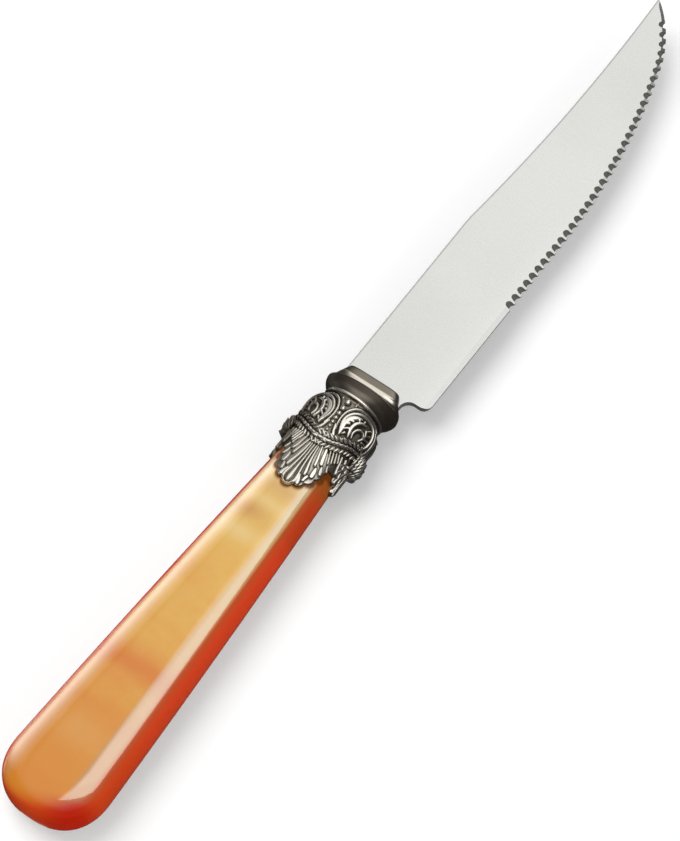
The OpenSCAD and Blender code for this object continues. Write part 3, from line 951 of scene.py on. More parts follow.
@dataclass
class Bolster:
    """Smooth cast bolster: a waist, a round bulge and an oblong lip against the blade."""

    length: float = 7.35
    bulge_x: float = 2.7
    bulge_half_width: float = 8.7
    bulge_half_thickness: float = 7.3
    lip_half_width: float = 6.1
    lip_half_thickness: float = 2.9
    neck_half_width: float = 6.7
    neck_half_thickness: float = 6.5
    neck_square_share: float = 0.05
    lip_square_share: float = 0.6
    tang_half_width: float = 2.4
    tang_half_thickness: float = 0.9
    tang_square_share: float = 0.75
    edge_radius: float = 0.22
    side_painted_shade: float = 0.6
    side_painted_shade_start: float = 4.5
    around: int = 240
    rows: int = 90
    rear_shares: tuple[Point, ...] = ((0, 0), (0.25, 0.42), (0.5, 0.74), (0.75, 0.93))
    front_shares: tuple[Point, ...] = (
        (0, 1, 1, 0), (0.06, 0.99, 0.93, 0.01), (0.12, 0.975, 0.78, 0.02), (0.18, 0.95, 0.56, 0.04),
        (0.24, 0.9, 0.37, 0.08), (0.32, 0.81, 0.23, 0.15), (0.42, 0.65, 0.15, 0.44), (0.5, 0.52, 0.12, 0.7),
        (0.6, 0.4, 0.06, 0.88), (0.66, 0.34, 0.01, 0.95), (0.74, 0.27, 0, 1), (1, 0, 0, 1),
    )
    # Wear along the bolster: patina darkens the bulge, and the cove between bulge and lip carries a painted
    # highlight.
    patina_and_painted_highlight: tuple[Point, ...] = (
        (0, 0.36), (0.1, 0.36), (0.2, 0.16), (0.35, 0.06), (0.56, 0.06), (0.6, 0.9), (0.7, 1), (0.75, 0.95),
        (0.79, 0.48), (0.93, 0.45), (0.97, 0.25), (1, 0.25),
    )

    def sections(self) -> tuple[Curve, ...]:
        """Returns the half width, half thickness and square share along the bolster."""
        rows = [
            (
                share * self.bulge_x,
                between(self.neck_half_width, self.bulge_half_width, swell),
                between(self.neck_half_thickness, self.bulge_half_thickness, swell),
                self.neck_square_share,
            )
            for share, swell in self.rear_shares
        ]
        rows += [
            (
                between(self.bulge_x, self.length, share),
                between(self.lip_half_width, self.bulge_half_width, wide),
                between(self.lip_half_thickness, self.bulge_half_thickness, thick),
                between(self.neck_square_share, self.lip_square_share, square),
            )
            for share, wide, thick, square in self.front_shares
        ]
        return section_curves(rows)

    def build(self, finish: bpy.types.Material) -> bpy.types.Object:
        """Makes the bolster.

        Args:
            finish: The bolster's material.

        Returns:
            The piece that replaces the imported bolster.
        """
        width, thickness, square = self.sections()
        edge = self.edge_radius
        rings = []
        for x in np.linspace(0, self.length, self.rows):
            drop = max(0.0, x - (self.length - edge))
            inset = edge - math.sqrt(max(0.0, edge * edge - drop * drop))
            sizes = float(width(x)) - inset, float(thickness(x)) - inset, float(square(x))
            rings.append(oval_ring(x, *sizes, self.around))
        slot = self.tang_half_width, self.tang_half_thickness, self.tang_square_share
        rings += [oval_ring(x, *slot, self.around) for x in (self.length, 0.0)]
        points = np.concatenate(rings)
        faces = ring_faces(len(rings), self.around, looped=True)
        worn = Curve(self.patina_and_painted_highlight)(points[:, 0] / self.length)
        # Painted shade: the bolster is painted darker towards its sides.
        aside = smooth_share(np.abs(points[:, 1]), self.side_painted_shade_start, self.bulge_half_width)
        worn = worn * (1 - self.side_painted_shade * aside)
        piece = make_piece("bolster_casting", points, faces, {"worn": worn}, crease=35.0)
        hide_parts("bolster")
        return settle(piece, finish)


@dataclass(frozen=True)
class Stroke:
    """One raised line of the cast ornament.

    Each point holds its distance along the axis, its arc from the face's centre line and the half width.
    """

    points: tuple[Point, ...]
    height: float
    flat: float = 0.35
    spread: float = 1.15
    gap: float = 0.07
    thinnest: float = 0.02

    def samples(self) -> Array:
        """Spreads points closely along the line, smoothly through the given ones."""
        table = np.array(self.points, float)
        ends = np.concatenate([[2 * table[0] - table[1]], table, [2 * table[-1] - table[-2]]])
        runs = []
        for i in range(1, len(ends) - 2):
            a, b, c, d = ends[i - 1 : i + 3]
            steps = max(2, math.ceil(float(np.hypot(*(c - b)[:2])) / self.gap))
            u = np.linspace(0, 1, steps, endpoint=False)[:, None]
            bend, twist = 2 * a - 5 * b + 4 * c - d, 3 * b - a - 3 * c + d
            runs.append(0.5 * (2 * b + (c - a) * u + bend * u**2 + twist * u**3))
        return np.concatenate([*runs, table[-1:]])

    def heights(self, x: Array, s: Array) -> Array:
        """Returns the line's height above the ground at each place of the surface.

        Args:
            x: Distances along the axis.
            s: Arcs from the face's centre line.

        Returns:
            The heights, 0 where the line doesn't reach.
        """
        line = self.samples() * (1, 1, self.spread)
        reach = line[:, 2].max()
        found = np.zeros(x.shape)
        near = (
            (x > line[:, 0].min() - reach) & (x < line[:, 0].max() + reach)
            & (s > line[:, 1].min() - reach) & (s < line[:, 1].max() + reach)
        )
        px, ps = x[near], s[near]
        best = np.full(px.shape, np.inf)
        for lx, ls, half in line:
            best = np.minimum(best, np.hypot(px - lx, ps - ls) / max(half, self.thinnest))
        inner = np.clip((best - self.flat) / (1 - self.flat), 0, 1)
        found[near] = self.height * np.sqrt(np.maximum(0, 1 - inner**2))
        return found


def relief(strokes: Sequence[Stroke], x: Array, s: Array) -> Array:
    """Returns the ornament's height at each place: the highest of the strokes there.

    Args:
        strokes: The ornament's raised lines.
        x: Distances along the axis.
        s: Arcs from the face's centre line.

    Returns:
        The heights.
    """
    ground = np.zeros(x.shape)
    for stroke in strokes:
        ground = np.maximum(ground, stroke.heights(x, s))
    return ground


SCROLLS: tuple[Stroke, ...] = (
    Stroke(((-8.6, 1.45, 0.1), (-7.0, 0.98, 0.2), (-5.0, 0.92, 0.24), (-3.5, 1.35, 0.26), (-2.1, 2.5, 0.27),
            (-1.45, 4.2, 0.27), (-1.4, 6.6, 0.27), (-1.9, 8.6, 0.25), (-2.9, 10.0, 0.2)), 0.42),
    Stroke(((-7.7, 2.0, 0.12), (-6.2, 1.62, 0.24), (-4.6, 1.85, 0.3), (-3.2, 2.95, 0.33), (-2.4, 4.7, 0.34),
            (-2.35, 6.6, 0.34), (-3.1, 8.3, 0.34), (-4.8, 9.4, 0.33), (-6.8, 9.45, 0.3),
            (-8.4, 8.5, 0.2)), 0.5),
    Stroke(((-9.0, 9.6, 0.15), (-7.6, 10.5, 0.28), (-6.0, 10.8, 0.3), (-4.2, 10.35, 0.28),
            (-2.9, 9.4, 0.2)), 0.34),
    Stroke(((-9.0, 2.6, 0.2), (-7.6, 2.35, 0.5), (-6.2, 2.2, 0.56), (-4.9, 2.6, 0.55), (-3.9, 3.5, 0.45),
            (-3.35, 4.6, 0.22)), 0.42),
    Stroke(((-8.6, 3.0, 0.12), (-8.0, 3.35, 0.26)), 0.4),
    Stroke(((-7.4, 2.8, 0.12), (-6.9, 3.25, 0.27)), 0.42),
    Stroke(((-6.2, 2.6, 0.12), (-5.8, 3.05, 0.26)), 0.42),
    Stroke(((-5.2, 3.0, 0.12), (-4.9, 3.5, 0.25)), 0.4),
    Stroke(((-8.4, 4.45, 0.14), (-7.2, 4.1, 0.36), (-6.0, 3.95, 0.42), (-4.9, 4.3, 0.4), (-4.1, 5.1, 0.32),
            (-3.85, 6.2, 0.18)), 0.46),
    Stroke(((-6.9, 3.7, 0.1), (-6.7, 3.55, 0.24)), 0.46),
    Stroke(((-4.2, 4.5, 0.1), (-3.9, 4.35, 0.24)), 0.44),
    Stroke(((-3.7, 5.4, 0.12), (-3.3, 5.5, 0.26)), 0.42),
    Stroke(((-8.1, 5.2, 0.12), (-7.0, 4.85, 0.26), (-6.0, 5.15, 0.29), (-5.4, 5.9, 0.26), (-5.5, 6.7, 0.22),
            (-6.1, 7.2, 0.16)), 0.5),
    Stroke(((-7.3, 6.9, 0.16), (-6.5, 7.4, 0.3), (-5.5, 7.5, 0.3), (-4.6, 7.0, 0.22)), 0.3),
    Stroke(((-7.1, 7.7, 0.1), (-6.9, 8.6, 0.2)), 0.34),
    Stroke(((-6.1, 7.8, 0.1), (-5.9, 8.75, 0.2)), 0.34),
    Stroke(((-5.2, 7.7, 0.1), (-4.8, 8.5, 0.2)), 0.34),
    Stroke(((-4.5, 7.2, 0.1), (-3.8, 7.8, 0.22)), 0.36),
    Stroke(((-9.9, 1.75, 0.36), (-9.0, 1.3, 0.3), (-7.6, 0.75, 0.12)), 0.36),
    Stroke(((-1.35, 1.75, 0.2), (-1.3, 1.85, 0.2)), 0.3),
    Stroke(((-9.6, 3.4, 0.16), (-9.2, 4.3, 0.26), (-9.3, 5.3, 0.14)), 0.3),
    Stroke(((-9.0, 5.6, 0.14), (-8.6, 6.5, 0.26), (-8.7, 7.5, 0.14)), 0.3),
    Stroke(((-8.0, 11.9, 0.12), (-6.6, 11.6, 0.22), (-5.0, 11.7, 0.24), (-3.4, 11.4, 0.12)), 0.2),
)

PALMETTE: tuple[Stroke, ...] = (
    Stroke(((-13.0, 0.0, 0.14), (-16.0, 0.0, 0.18), (-19.0, 0.0, 0.26), (-21.0, 0.0, 0.42),
            (-22.4, 0.0, 0.56), (-23.2, 0.0, 0.4)), 0.46, 0.3, 1.0),
    Stroke(((-13.4, 0.55, 0.12), (-16.5, 0.62, 0.2), (-19.0, 0.85, 0.24), (-21.0, 1.15, 0.28),
            (-22.6, 1.35, 0.36), (-23.8, 0.9, 0.36), (-24.3, 0.0, 0.34)), 0.4, 0.4, 1.0),
    Stroke(((-13.6, 0.9, 0.16), (-16.0, 1.2, 0.24), (-18.0, 1.6, 0.34), (-19.6, 2.05, 0.42),
            (-20.3, 2.15, 0.34)), 0.46, 0.35, 1.0),
    Stroke(((-13.2, 1.55, 0.2), (-14.8, 2.0, 0.28), (-16.3, 2.45, 0.36), (-17.4, 2.7, 0.34)),
           0.46, 0.35, 1.0),
    Stroke(((-12.6, 2.45, 0.26), (-14.2, 2.9, 0.38), (-15.6, 3.3, 0.46), (-16.4, 3.6, 0.42)), 0.46, 0.5, 1.0),
    Stroke(((-12.5, 3.35, 0.16), (-14.0, 3.95, 0.24), (-15.4, 4.55, 0.24)), 0.42, 0.3, 1.0),
    Stroke(((-12.4, 4.05, 0.16), (-13.6, 4.55, 0.24), (-14.9, 5.1, 0.24)), 0.42, 0.3, 1.0),
    Stroke(((-12.3, 4.7, 0.16), (-13.2, 5.15, 0.22), (-14.3, 5.65, 0.22)), 0.42, 0.3, 1.0),
    Stroke(((-12.2, 5.4, 0.16), (-13.0, 5.8, 0.22), (-13.8, 6.25, 0.2)), 0.4, 0.3, 1.0),
    Stroke(((-20.9, 1.5, 0.2), (-22.0, 1.9, 0.42), (-22.8, 2.1, 0.46)), 0.38, 0.4, 1.0),
    Stroke(((-20.4, 2.9, 0.36), (-21.0, 2.75, 0.4), (-21.6, 2.7, 0.36)), 0.38, 0.4, 1.0),
    Stroke(((-17.9, 3.3, 0.3), (-18.9, 3.5, 0.56), (-19.8, 3.6, 0.5)), 0.4, 0.5, 1.0),
    Stroke(((-16.9, 4.1, 0.24), (-17.6, 4.4, 0.44), (-18.3, 4.7, 0.4)), 0.4, 0.5, 1.0),
    Stroke(((-15.8, 4.9, 0.2), (-16.4, 5.2, 0.32), (-16.9, 5.5, 0.3)), 0.38, 0.4, 1.0),
)

CUP_LEAVES: tuple[Stroke, ...] = (
    Stroke(((-12.2, 6.3, 0.2), (-13.6, 6.8, 0.3), (-14.8, 7.2, 0.36), (-15.6, 7.4, 0.24)), 0.44),
    Stroke(((-12.0, 7.5, 0.2), (-13.4, 8.1, 0.32), (-14.8, 8.6, 0.38), (-15.8, 8.9, 0.28)), 0.44),
    Stroke(((-12.4, 9.0, 0.2), (-13.6, 9.5, 0.3), (-15.0, 9.9, 0.36), (-16.2, 10.1, 0.3)), 0.44),
)

# The palmette's first nine strokes start on the cup.
CUP_RELIEF = SCROLLS + PALMETTE[:9] + CUP_LEAVES

SIDE_RIBS: tuple[Stroke, ...] = (
    Stroke(((-12.6, 0.0, 0.3), (-15.0, 0.0, 0.44), (-17.4, 0.0, 0.5), (-18.5, 0.0, 0.4)), 0.46, 0.3, 1.0),
    Stroke(((-13.0, 0.8, 0.14), (-15.0, 1.0, 0.2), (-17.0, 1.15, 0.22), (-18.3, 0.95, 0.22)), 0.38, 0.4, 1.0),
    Stroke(((-12.8, 1.4, 0.2), (-14.4, 1.85, 0.38), (-16.0, 2.35, 0.46), (-17.0, 2.6, 0.4)), 0.46, 0.4, 1.0),
    Stroke(((-12.6, 2.3, 0.18), (-13.9, 2.95, 0.34), (-15.0, 3.5, 0.42), (-15.7, 3.85, 0.36)),
           0.46, 0.4, 1.0),
    Stroke(((-12.4, 3.2, 0.16), (-13.2, 3.85, 0.3), (-14.2, 4.6, 0.34)), 0.44, 0.4, 1.0),
    Stroke(((-12.0, 3.7, 0.16), (-12.6, 4.5, 0.28), (-13.0, 5.2, 0.3)), 0.44, 0.4, 1.0),
)


class Side(Enum):
    """The collar's four sides, each by its quarter turns from the front face."""

    FRONT = 0
    SPINE = 1
    BACK = 2
    EDGE = 3


@dataclass
class Lappet:
    """A leaf of the collar that lies on the handle, with its scalloped outline."""

    strokes: tuple[Stroke, ...]
    root_x: float
    reaches: tuple[Point, ...]
    half_angle: float
    rows: int = 110
    columns: int = 260
    least_reach: float = 1.2

    def reach(self, angle: Array) -> Array:
        """Returns the outline's distance from the root at each angle in degrees.

        Args:
            angle: Angles to either side of the leaf's middle.

        Returns:
            The distances.
        """
        found = np.full(angle.shape, self.least_reach)
        for distance, turn, radius in self.reaches:
            for sign in (-1, 1):
                off = np.radians(angle - sign * turn)
                inside = radius**2 - (distance * np.sin(off)) ** 2
                far = distance * np.cos(off) + np.sqrt(np.maximum(0, inside))
                found = np.where((inside > 0) & (np.cos(off) > 0), np.maximum(found, far), found)
        return found


PALMETTE_LEAF = Lappet(
    PALMETTE,
    root_x=-11.0,
    reaches=(
        (12.0, 0.0, 1.4), (11.1, 9.5, 1.5), (9.9, 19.0, 1.5), (8.6, 28.5, 1.4), (7.3, 38.5, 1.3),
        (6.4, 48.0, 1.1),
    ),
    half_angle=55.0,
)
SIDE_LEAF = Lappet(
    SIDE_RIBS,
    root_x=-11.5,
    reaches=((6.4, 0.0, 1.15), (5.6, 24.0, 1.05), (4.8, 46.0, 1.0), (4.2, 68.0, 0.95)),
    half_angle=76.0,
    rows=80,
    columns=240,
)


@dataclass
class Shell:
    """The collar's smooth outer skin, which the ornament is raised on."""

    handle: Handle
    bolster: Bolster
    barrel_x: float = -5.1
    barrel_half_width: float = 8.7
    barrel_half_thickness: float = 7.0
    wire_radius: float = 0.4
    lappet_thickness: float = 0.8
    lappet_end: float = -26.5
    columns: int = 2048
    rear_shares: tuple[Point, ...] = (
        (0, 0), (0.2, 0), (0.4, 0), (0.5, 0.03), (0.58, 0.12), (0.66, 0.3), (0.74, 0.52), (0.82, 0.75),
        (0.9, 0.92), (1, 1),
    )
    front_shares: tuple[Point, ...] = ((0.25, 0.06), (0.45, 0.2), (0.65, 0.45), (0.8, 0.72), (0.9, 1))
    step: float = 0.1

    def __post_init__(self) -> None:
        """Works out the skin's sections on a fine table."""
        rows = []
        for share, barrel in self.rear_shares:
            x = between(self.lappet_end, self.barrel_x, share)
            width, thickness, square = (float(v) for v in self.handle.sizes(x))
            rows.append((
                x,
                between(width + self.lappet_thickness, self.barrel_half_width, barrel),
                between(thickness + self.lappet_thickness, self.barrel_half_thickness, barrel),
                between(square, self.bolster.neck_square_share, barrel),
            ))
        for share, neck in self.front_shares:
            rows.append((
                between(self.barrel_x, -2 * self.wire_radius, share),
                between(self.barrel_half_width, self.bolster.neck_half_width, neck),
                between(self.barrel_half_thickness, self.bolster.neck_half_thickness, neck),
                self.bolster.neck_square_share,
            ))
        rows.append((0.0, *rows[-1][1:]))
        curves = section_curves(rows)
        self.at = np.arange(self.lappet_end, self.step / 2, self.step)
        self.table = np.array([
            oval_ring(x, *(float(c(x)) for c in curves), self.columns)[:, 1:] for x in self.at
        ])
        closed = np.concatenate([self.table, self.table[:, :1]], axis=1)
        self.girth = np.linalg.norm(np.diff(closed, axis=1), axis=2).sum(axis=1)

    def quarter(self, x: Array) -> Array:
        """Returns the arc from a face's centre line to the side line at each place."""
        return np.interp(x, self.at, self.girth) / 4

    def ground(self, x: Array, s: Array) -> Array:
        """Returns the skin's points at distances along the axis and arcs from the front's centre line.

        Args:
            x: Distances along the axis.
            s: Arcs from the front's centre line.

        Returns:
            The points about the axis.
        """
        x, s = np.asarray(x, float), np.asarray(s, float)
        row = np.clip((x - self.at[0]) / self.step, 0, len(self.at) - 1.001)
        i, u = row.astype(int), row % 1
        column = (s / np.interp(x, self.at, self.girth) % 1.0) * self.columns
        j, v = column.astype(int) % self.columns, column % 1
        k = (j + 1) % self.columns
        u, v = u[..., None], v[..., None]
        side = (
            self.table[i, j] * (1 - u) * (1 - v) + self.table[i, k] * (1 - u) * v
            + self.table[i + 1, j] * u * (1 - v) + self.table[i + 1, k] * u * v
        )
        return np.concatenate([x[..., None], side], axis=-1)

    def outward(self, x: Array, s: Array) -> Array:
        """Returns the skin's unit normals."""
        reach = 0.15
        x = np.clip(x, self.at[0] + reach, -reach)
        along = self.ground(x + reach, s) - self.ground(x - reach, s)
        across = self.ground(x, s + reach) - self.ground(x, s - reach)
        normal = np.cross(across, along)
        return -normal / np.linalg.norm(normal, axis=-1, keepdims=True)

    def lifted(self, x: Array, s: Array, lift: Array) -> Array:
        """Returns points raised from the skin by a height."""
        return self.ground(x, s) + self.outward(x, s) * np.asarray(lift, float)[..., None]


def rubbed(
    height: Array, reach: int, level: float = 0.38, proud: float = 2.4, raised: float = 0.6
) -> Array:
    """Finds how far each place of a grid stands proud of what is round it.

    Args:
        height: Heights on a grid.
        reach: Number of grid steps to each side that count as round it.
        level: The value of a flat place on the ground.
        proud: How much standing above what is round it adds.
        raised: How much height alone adds.

    Returns:
        About 0 in hollows and 1 on ridges.
    """
    blurred = height.copy()
    for axis in (0, 1):
        total = np.zeros_like(blurred)
        for shift in range(-reach, reach + 1):
            index = np.clip(np.arange(blurred.shape[axis]) + shift, 0, blurred.shape[axis] - 1)
            total += np.take(blurred, index, axis=axis)
        blurred = total / (2 * reach + 1)
    return np.clip(level + (height - blurred) * proud + height * raised, 0, 1)


@dataclass
class Collar:
    """Cast collar: a cup with scrolls, two palmettes, two side leaves, pearls and a laurel swag."""

    shell: Shell
    cup_rear: float = -16.4
    sunk: float = 0.4
    rear_sunk: float = 0.4
    rear_slope: float = 0.3
    relief_fade: Point = (-1.0, -1.5)
    groove: Point = (-1.1, -0.8)
    groove_depth: float = 0.12
    leaf_sunk: float = 0.8
    leaf_edge_rise: float = 0.48
    leaf_edge_width: float = 0.32
    leaf_relief_margin: float = 0.3
    leaf_underside: float = 1.1
    leaf_start: float = 0.03
    leaf_edge_rub: float = 0.2
    leaf_rub_reach: int = 4
    rub_reach: int = 5
    wire_hollow: float = 0.1
    wire_rub: float = 0.8
    spigot_radius: float = 4.6
    spigot_end: float = -8.4
    bore_radius: float = 3.0
    around: int = 440
    row_step: float = 0.11
    pieces: list[bpy.types.Object] = field(default_factory=list)

    def cup(self) -> bpy.types.Object:
        """Makes the cup with its wire rim and the scrolls on both faces.

        Returns:
            The closed cup with its spigot hole and bore.
        """
        wire = self.shell.wire_radius
        rear = np.arange(self.cup_rear, -2 * wire, self.row_step)
        turns = np.radians(np.linspace(-90, 90, 11))
        at = np.concatenate([rear, -wire + wire * np.sin(turns)])
        share = np.arange(self.around) / self.around
        x = np.repeat(at[:, None], self.around, axis=1)
        s = share[None, :] * 4 * self.shell.quarter(x)
        half = 2 * self.shell.quarter(x)
        from_face = np.abs((s + half / 2) % half - half / 2)
        height = relief(CUP_RELIEF, x, from_face)
        worn = rubbed(height, self.rub_reach)
        worn[len(rear):] = (self.wire_hollow + self.wire_rub * np.cos(turns))[:, None]
        lift = -self.sunk + height * smooth_share(x, *self.relief_fade)
        lift = lift - self.rear_sunk * (1 - smooth_share(x, self.cup_rear, self.cup_rear + self.rear_slope))
        groove = smooth_share(x, *self.groove)
        lift = lift * (1 - groove) - self.groove_depth * groove
        lift[len(rear):] = (wire * np.cos(turns))[:, None]
        inner = np.array(round_rings([
            (0.0, self.bore_radius), (self.spigot_end, self.bore_radius),
            (self.spigot_end, self.spigot_radius), (self.cup_rear, self.spigot_radius),
        ], self.around))
        points = np.concatenate([self.shell.lifted(x, s, lift), inner]).reshape(-1, 3)
        values = np.concatenate([worn.ravel(), np.zeros(inner.shape[0] * self.around)])
        faces = ring_faces(len(at) + len(inner), self.around, looped=True)
        return make_piece("collar_cup", points, faces, {"worn": values}, crease=80.0)

    def leaf(self, lappet: Lappet, name: str, face: Side) -> bpy.types.Object:
        """Makes one lappet on the handle.

        Args:
            lappet: The leaf's outline and ribs.
            name: The piece's name.
            face: The side of the collar that the leaf hangs from.

        Returns:
            The closed leaf.
        """
        rows, columns = lappet.rows, lappet.columns
        angle = np.linspace(-lappet.half_angle, lappet.half_angle, columns)
        reach = lappet.reach(angle)
        share = np.linspace(self.leaf_start, 1, rows)[:, None]
        x = lappet.root_x - share * (reach * np.cos(np.radians(angle)))[None, :]
        off = share * (reach * np.sin(np.radians(angle)))[None, :]
        index = np.arange(rows * columns).reshape(rows, columns)
        loop = np.concatenate([index[0], index[1:, -1], index[-1, -2::-1], index[-2:0:-1, 0]]).tolist()
        loop_x, loop_off = x.ravel()[loop], off.ravel()[loop]
        near = np.full(x.shape, np.inf)
        for edge_x, edge_off in zip(loop_x, loop_off):
            near = np.minimum(near, np.hypot(x - edge_x, off - edge_off))
        height = relief(lappet.strokes, x, np.abs(off))
        edge = np.sqrt(np.maximum(0, 1 - (1 - np.clip(near / self.leaf_edge_width, 0, 1)) ** 2))
        lift = self.leaf_edge_rise * edge - self.leaf_sunk
        lift = lift + height * smooth_share(near, 0.0, self.leaf_relief_margin)
        arc = face.value * self.shell.quarter(x) + off
        loop_arc = face.value * self.shell.quarter(loop_x) + loop_off
        top = self.shell.lifted(x, arc, lift).reshape(-1, 3)
        below = self.shell.lifted(loop_x, loop_arc, np.full(len(loop), -self.leaf_underside))
        points = np.concatenate([top, below, below.mean(axis=0, keepdims=True)])
        faces: list[tuple[int, ...]] = [
            (a, a + 1, a + 1 + columns, a + columns) for a in index[:-1, :-1].ravel().tolist()
        ]
        first, centre = rows * columns, len(points) - 1
        for n in range(len(loop)):
            m = (n + 1) % len(loop)
            faces.append((loop[n], first + n, first + m, loop[m]))
            faces.append((first + n, centre, first + m))
        worn = rubbed(height + self.leaf_edge_rub * edge, self.leaf_rub_reach)
        values = np.concatenate([worn.ravel(), np.zeros(len(loop) + 1)])
        piece = make_piece(name, points, faces, {"worn": values}, crease=80.0)
        turn_outward(piece)
        return piece

    def build(self, finish: bpy.types.Material) -> list[bpy.types.Object]:
        """Makes the collar's pieces and dresses them.

        Args:
            finish: The collar's material.

        Returns:
            The pieces.
        """
        cup = self.cup()
        turn_outward(cup)
        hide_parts("collar")
        self.pieces.append(cup)
        for lappet, name, face in (
            (PALMETTE_LEAF, "palmette_front", Side.FRONT), (PALMETTE_LEAF, "palmette_back", Side.BACK),
            (SIDE_LEAF, "side_leaf_spine", Side.SPINE), (SIDE_LEAF, "side_leaf_edge", Side.EDGE),
        ):
            self.pieces.append(self.leaf(lappet, name, face))
        laurel = Laurel(self.shell)
        self.pieces += [Pearls(self.shell).build(finish), laurel.build(finish), laurel.cores()]
        for piece in self.pieces:
            settle(piece, finish)
        return self.pieces


def turn_outward(piece: bpy.types.Object) -> None:
    """Turns a closed mesh the right way round if its faces point inwards.

    Args:
        piece: The piece, whose mesh is changed in place.
    """
    mesh = piece.data
    mesh.calc_loop_triangles()
    count = len(mesh.vertices)
    co = np.zeros(count * 3)
    mesh.vertices.foreach_get("co", co)
    co = co.reshape(-1, 3)
    corners = np.zeros(len(mesh.loop_triangles) * 3, int)
    mesh.loop_triangles.foreach_get("vertices", corners)
    a, b, c = (co[corners.reshape(-1, 3)[:, i]] for i in range(3))
    if np.einsum("ij,ij->i", a, np.cross(b, c)).sum() < 0:
        mesh.flip_normals()


def run_nodes(
    name: str, tree: bpy.types.NodeTree, base: bpy.types.Object, inputs: dict[str, object],
) -> bpy.types.Object:
    """Runs a geometry tree on an object and keeps the result as a plain mesh.

    Args:
        name: The new piece's name.
        tree: The geometry tree.
        base: The object that the tree starts from, which is removed.
        inputs: Values for the tree's named inputs.

    Returns:
        The new piece, with no modifier left.
    """
    modifier = base.modifiers.new(name, "NODES")
    modifier.node_group = tree
    for item in tree.interface.items_tree:
        if item.item_type == "SOCKET" and item.in_out == "INPUT" and item.name in inputs:
            modifier[item.identifier] = inputs[item.name]
    bpy.context.view_layer.update()
    graph = bpy.context.evaluated_depsgraph_get()
    made = base.evaluated_get(graph)
    mesh = bpy.data.meshes.new_from_object(made, preserve_all_data_layers=True, depsgraph=graph)
    base.modifiers.clear()
    bpy.data.objects.remove(base)
    mesh.name = name
    return show(name, mesh, crease=60.0)


def seed_mesh(
    name: str,
    points: Array,
    edges: Sequence[tuple[int, int]],
    vectors: dict[str, Array],
    values: dict[str, Array],
) -> bpy.types.Object:
    """Makes the points or lines that a geometry tree starts from.

    Args:
        name: The object's name.
        points: Points in millimetres about the axis.
        edges: The lines, by point number.
        vectors: Named ways for each point.
        values: Named values for each point.

    Returns:
        The object, which run_nodes takes.
    """
    mesh = bpy.data.meshes.new(name)
    mesh.from_pydata(AXIS.place(points).tolist(), edges, [])
    for key, value in vectors.items():
        way = np.asarray(value, np.float32).ravel()
        mesh.attributes.new(key, "FLOAT_VECTOR", "POINT").data.foreach_set("vector", way)
    add_values(mesh, values)
    return show(name, mesh)


def template(name: str, points: Array, faces: Sequence[tuple[int, ...]], worn: Array) -> bpy.types.Object:
    """Makes a small mesh that a geometry tree repeats.

    Args:
        name: The mesh's name.
        points: Points in millimetres about its own root.
        faces: The faces, by point number.
        worn: How far each point is rubbed bright.

    Returns:
        An object outside the scene.
    """
    mesh = bpy.data.meshes.new(name)
    mesh.from_pydata((np.asarray(points) * MM).tolist(), [], faces)
    add_values(mesh, {"worn": worn})
    return bpy.data.objects.new(name, mesh)


def new_repeat_tree(name: str, piece: str, inputs: dict[str, tuple[str, object]]) -> tuple[Canvas, object]:
    """Starts a geometry tree that repeats a piece.

    Args:
        name: The tree's name.
        piece: The name of the input that takes the repeated piece.
        inputs: Socket type and default of each further input, by name.

    Returns:
        The tree's canvas and its inputs' sockets.
    """
    shared = {"Geometry": (SHAPE, None), piece: (OBJECT, None), "Finish": (FINISH, None)}
    canvas = new_group(name, "GeometryNodeTree", {**shared, **inputs}, {"Geometry": SHAPE})
    return canvas, canvas.node("NodeGroupInput").outputs


def end_repeat_tree(canvas: Canvas, piece: object, finish: object, placing: dict) -> bpy.types.NodeTree:
    """Sets the piece on each point, makes the copies real and gives them their finish.

    Args:
        canvas: The tree's canvas.
        piece: The socket of the piece that is repeated.
        finish: The socket of its material.
        placing: The points, and the rotation and scale of the copy on each.

    Returns:
        The whole tree.
    """
    shape = canvas.node("GeometryNodeObjectInfo", {"Object": piece}).outputs["Geometry"]
    copies = canvas.node("GeometryNodeInstanceOnPoints", {"Instance": shape, **placing}).outputs[0]
    real = canvas.node("GeometryNodeRealizeInstances", {"Geometry": copies}).outputs[0]
    dressed = canvas.node("GeometryNodeSetMaterial", {"Geometry": real, "Material": finish})
    canvas.node("NodeGroupOutput", {"Geometry": dressed.outputs[0]})
    return canvas.tree


def build_pearl_tree() -> bpy.types.NodeTree:
    """Builds the tree that sets a pearl on each point, scaled by the point's radius.

    Returns:
        The tree, whose inputs are the pearl and its finish.
    """
    canvas, sockets = new_repeat_tree("pearls_on_points", "Pearl", {})
    outward = canvas.named("outward", "FLOAT_VECTOR")
    turned = canvas.node("FunctionNodeAlignRotationToVector", {"Vector": outward}, axis="Z")
    return end_repeat_tree(canvas, sockets["Pearl"], sockets["Finish"], {
        "Points": sockets["Geometry"],
        "Rotation": turned.outputs[0],
        "Scale": canvas.named("radius", "FLOAT"),
    })


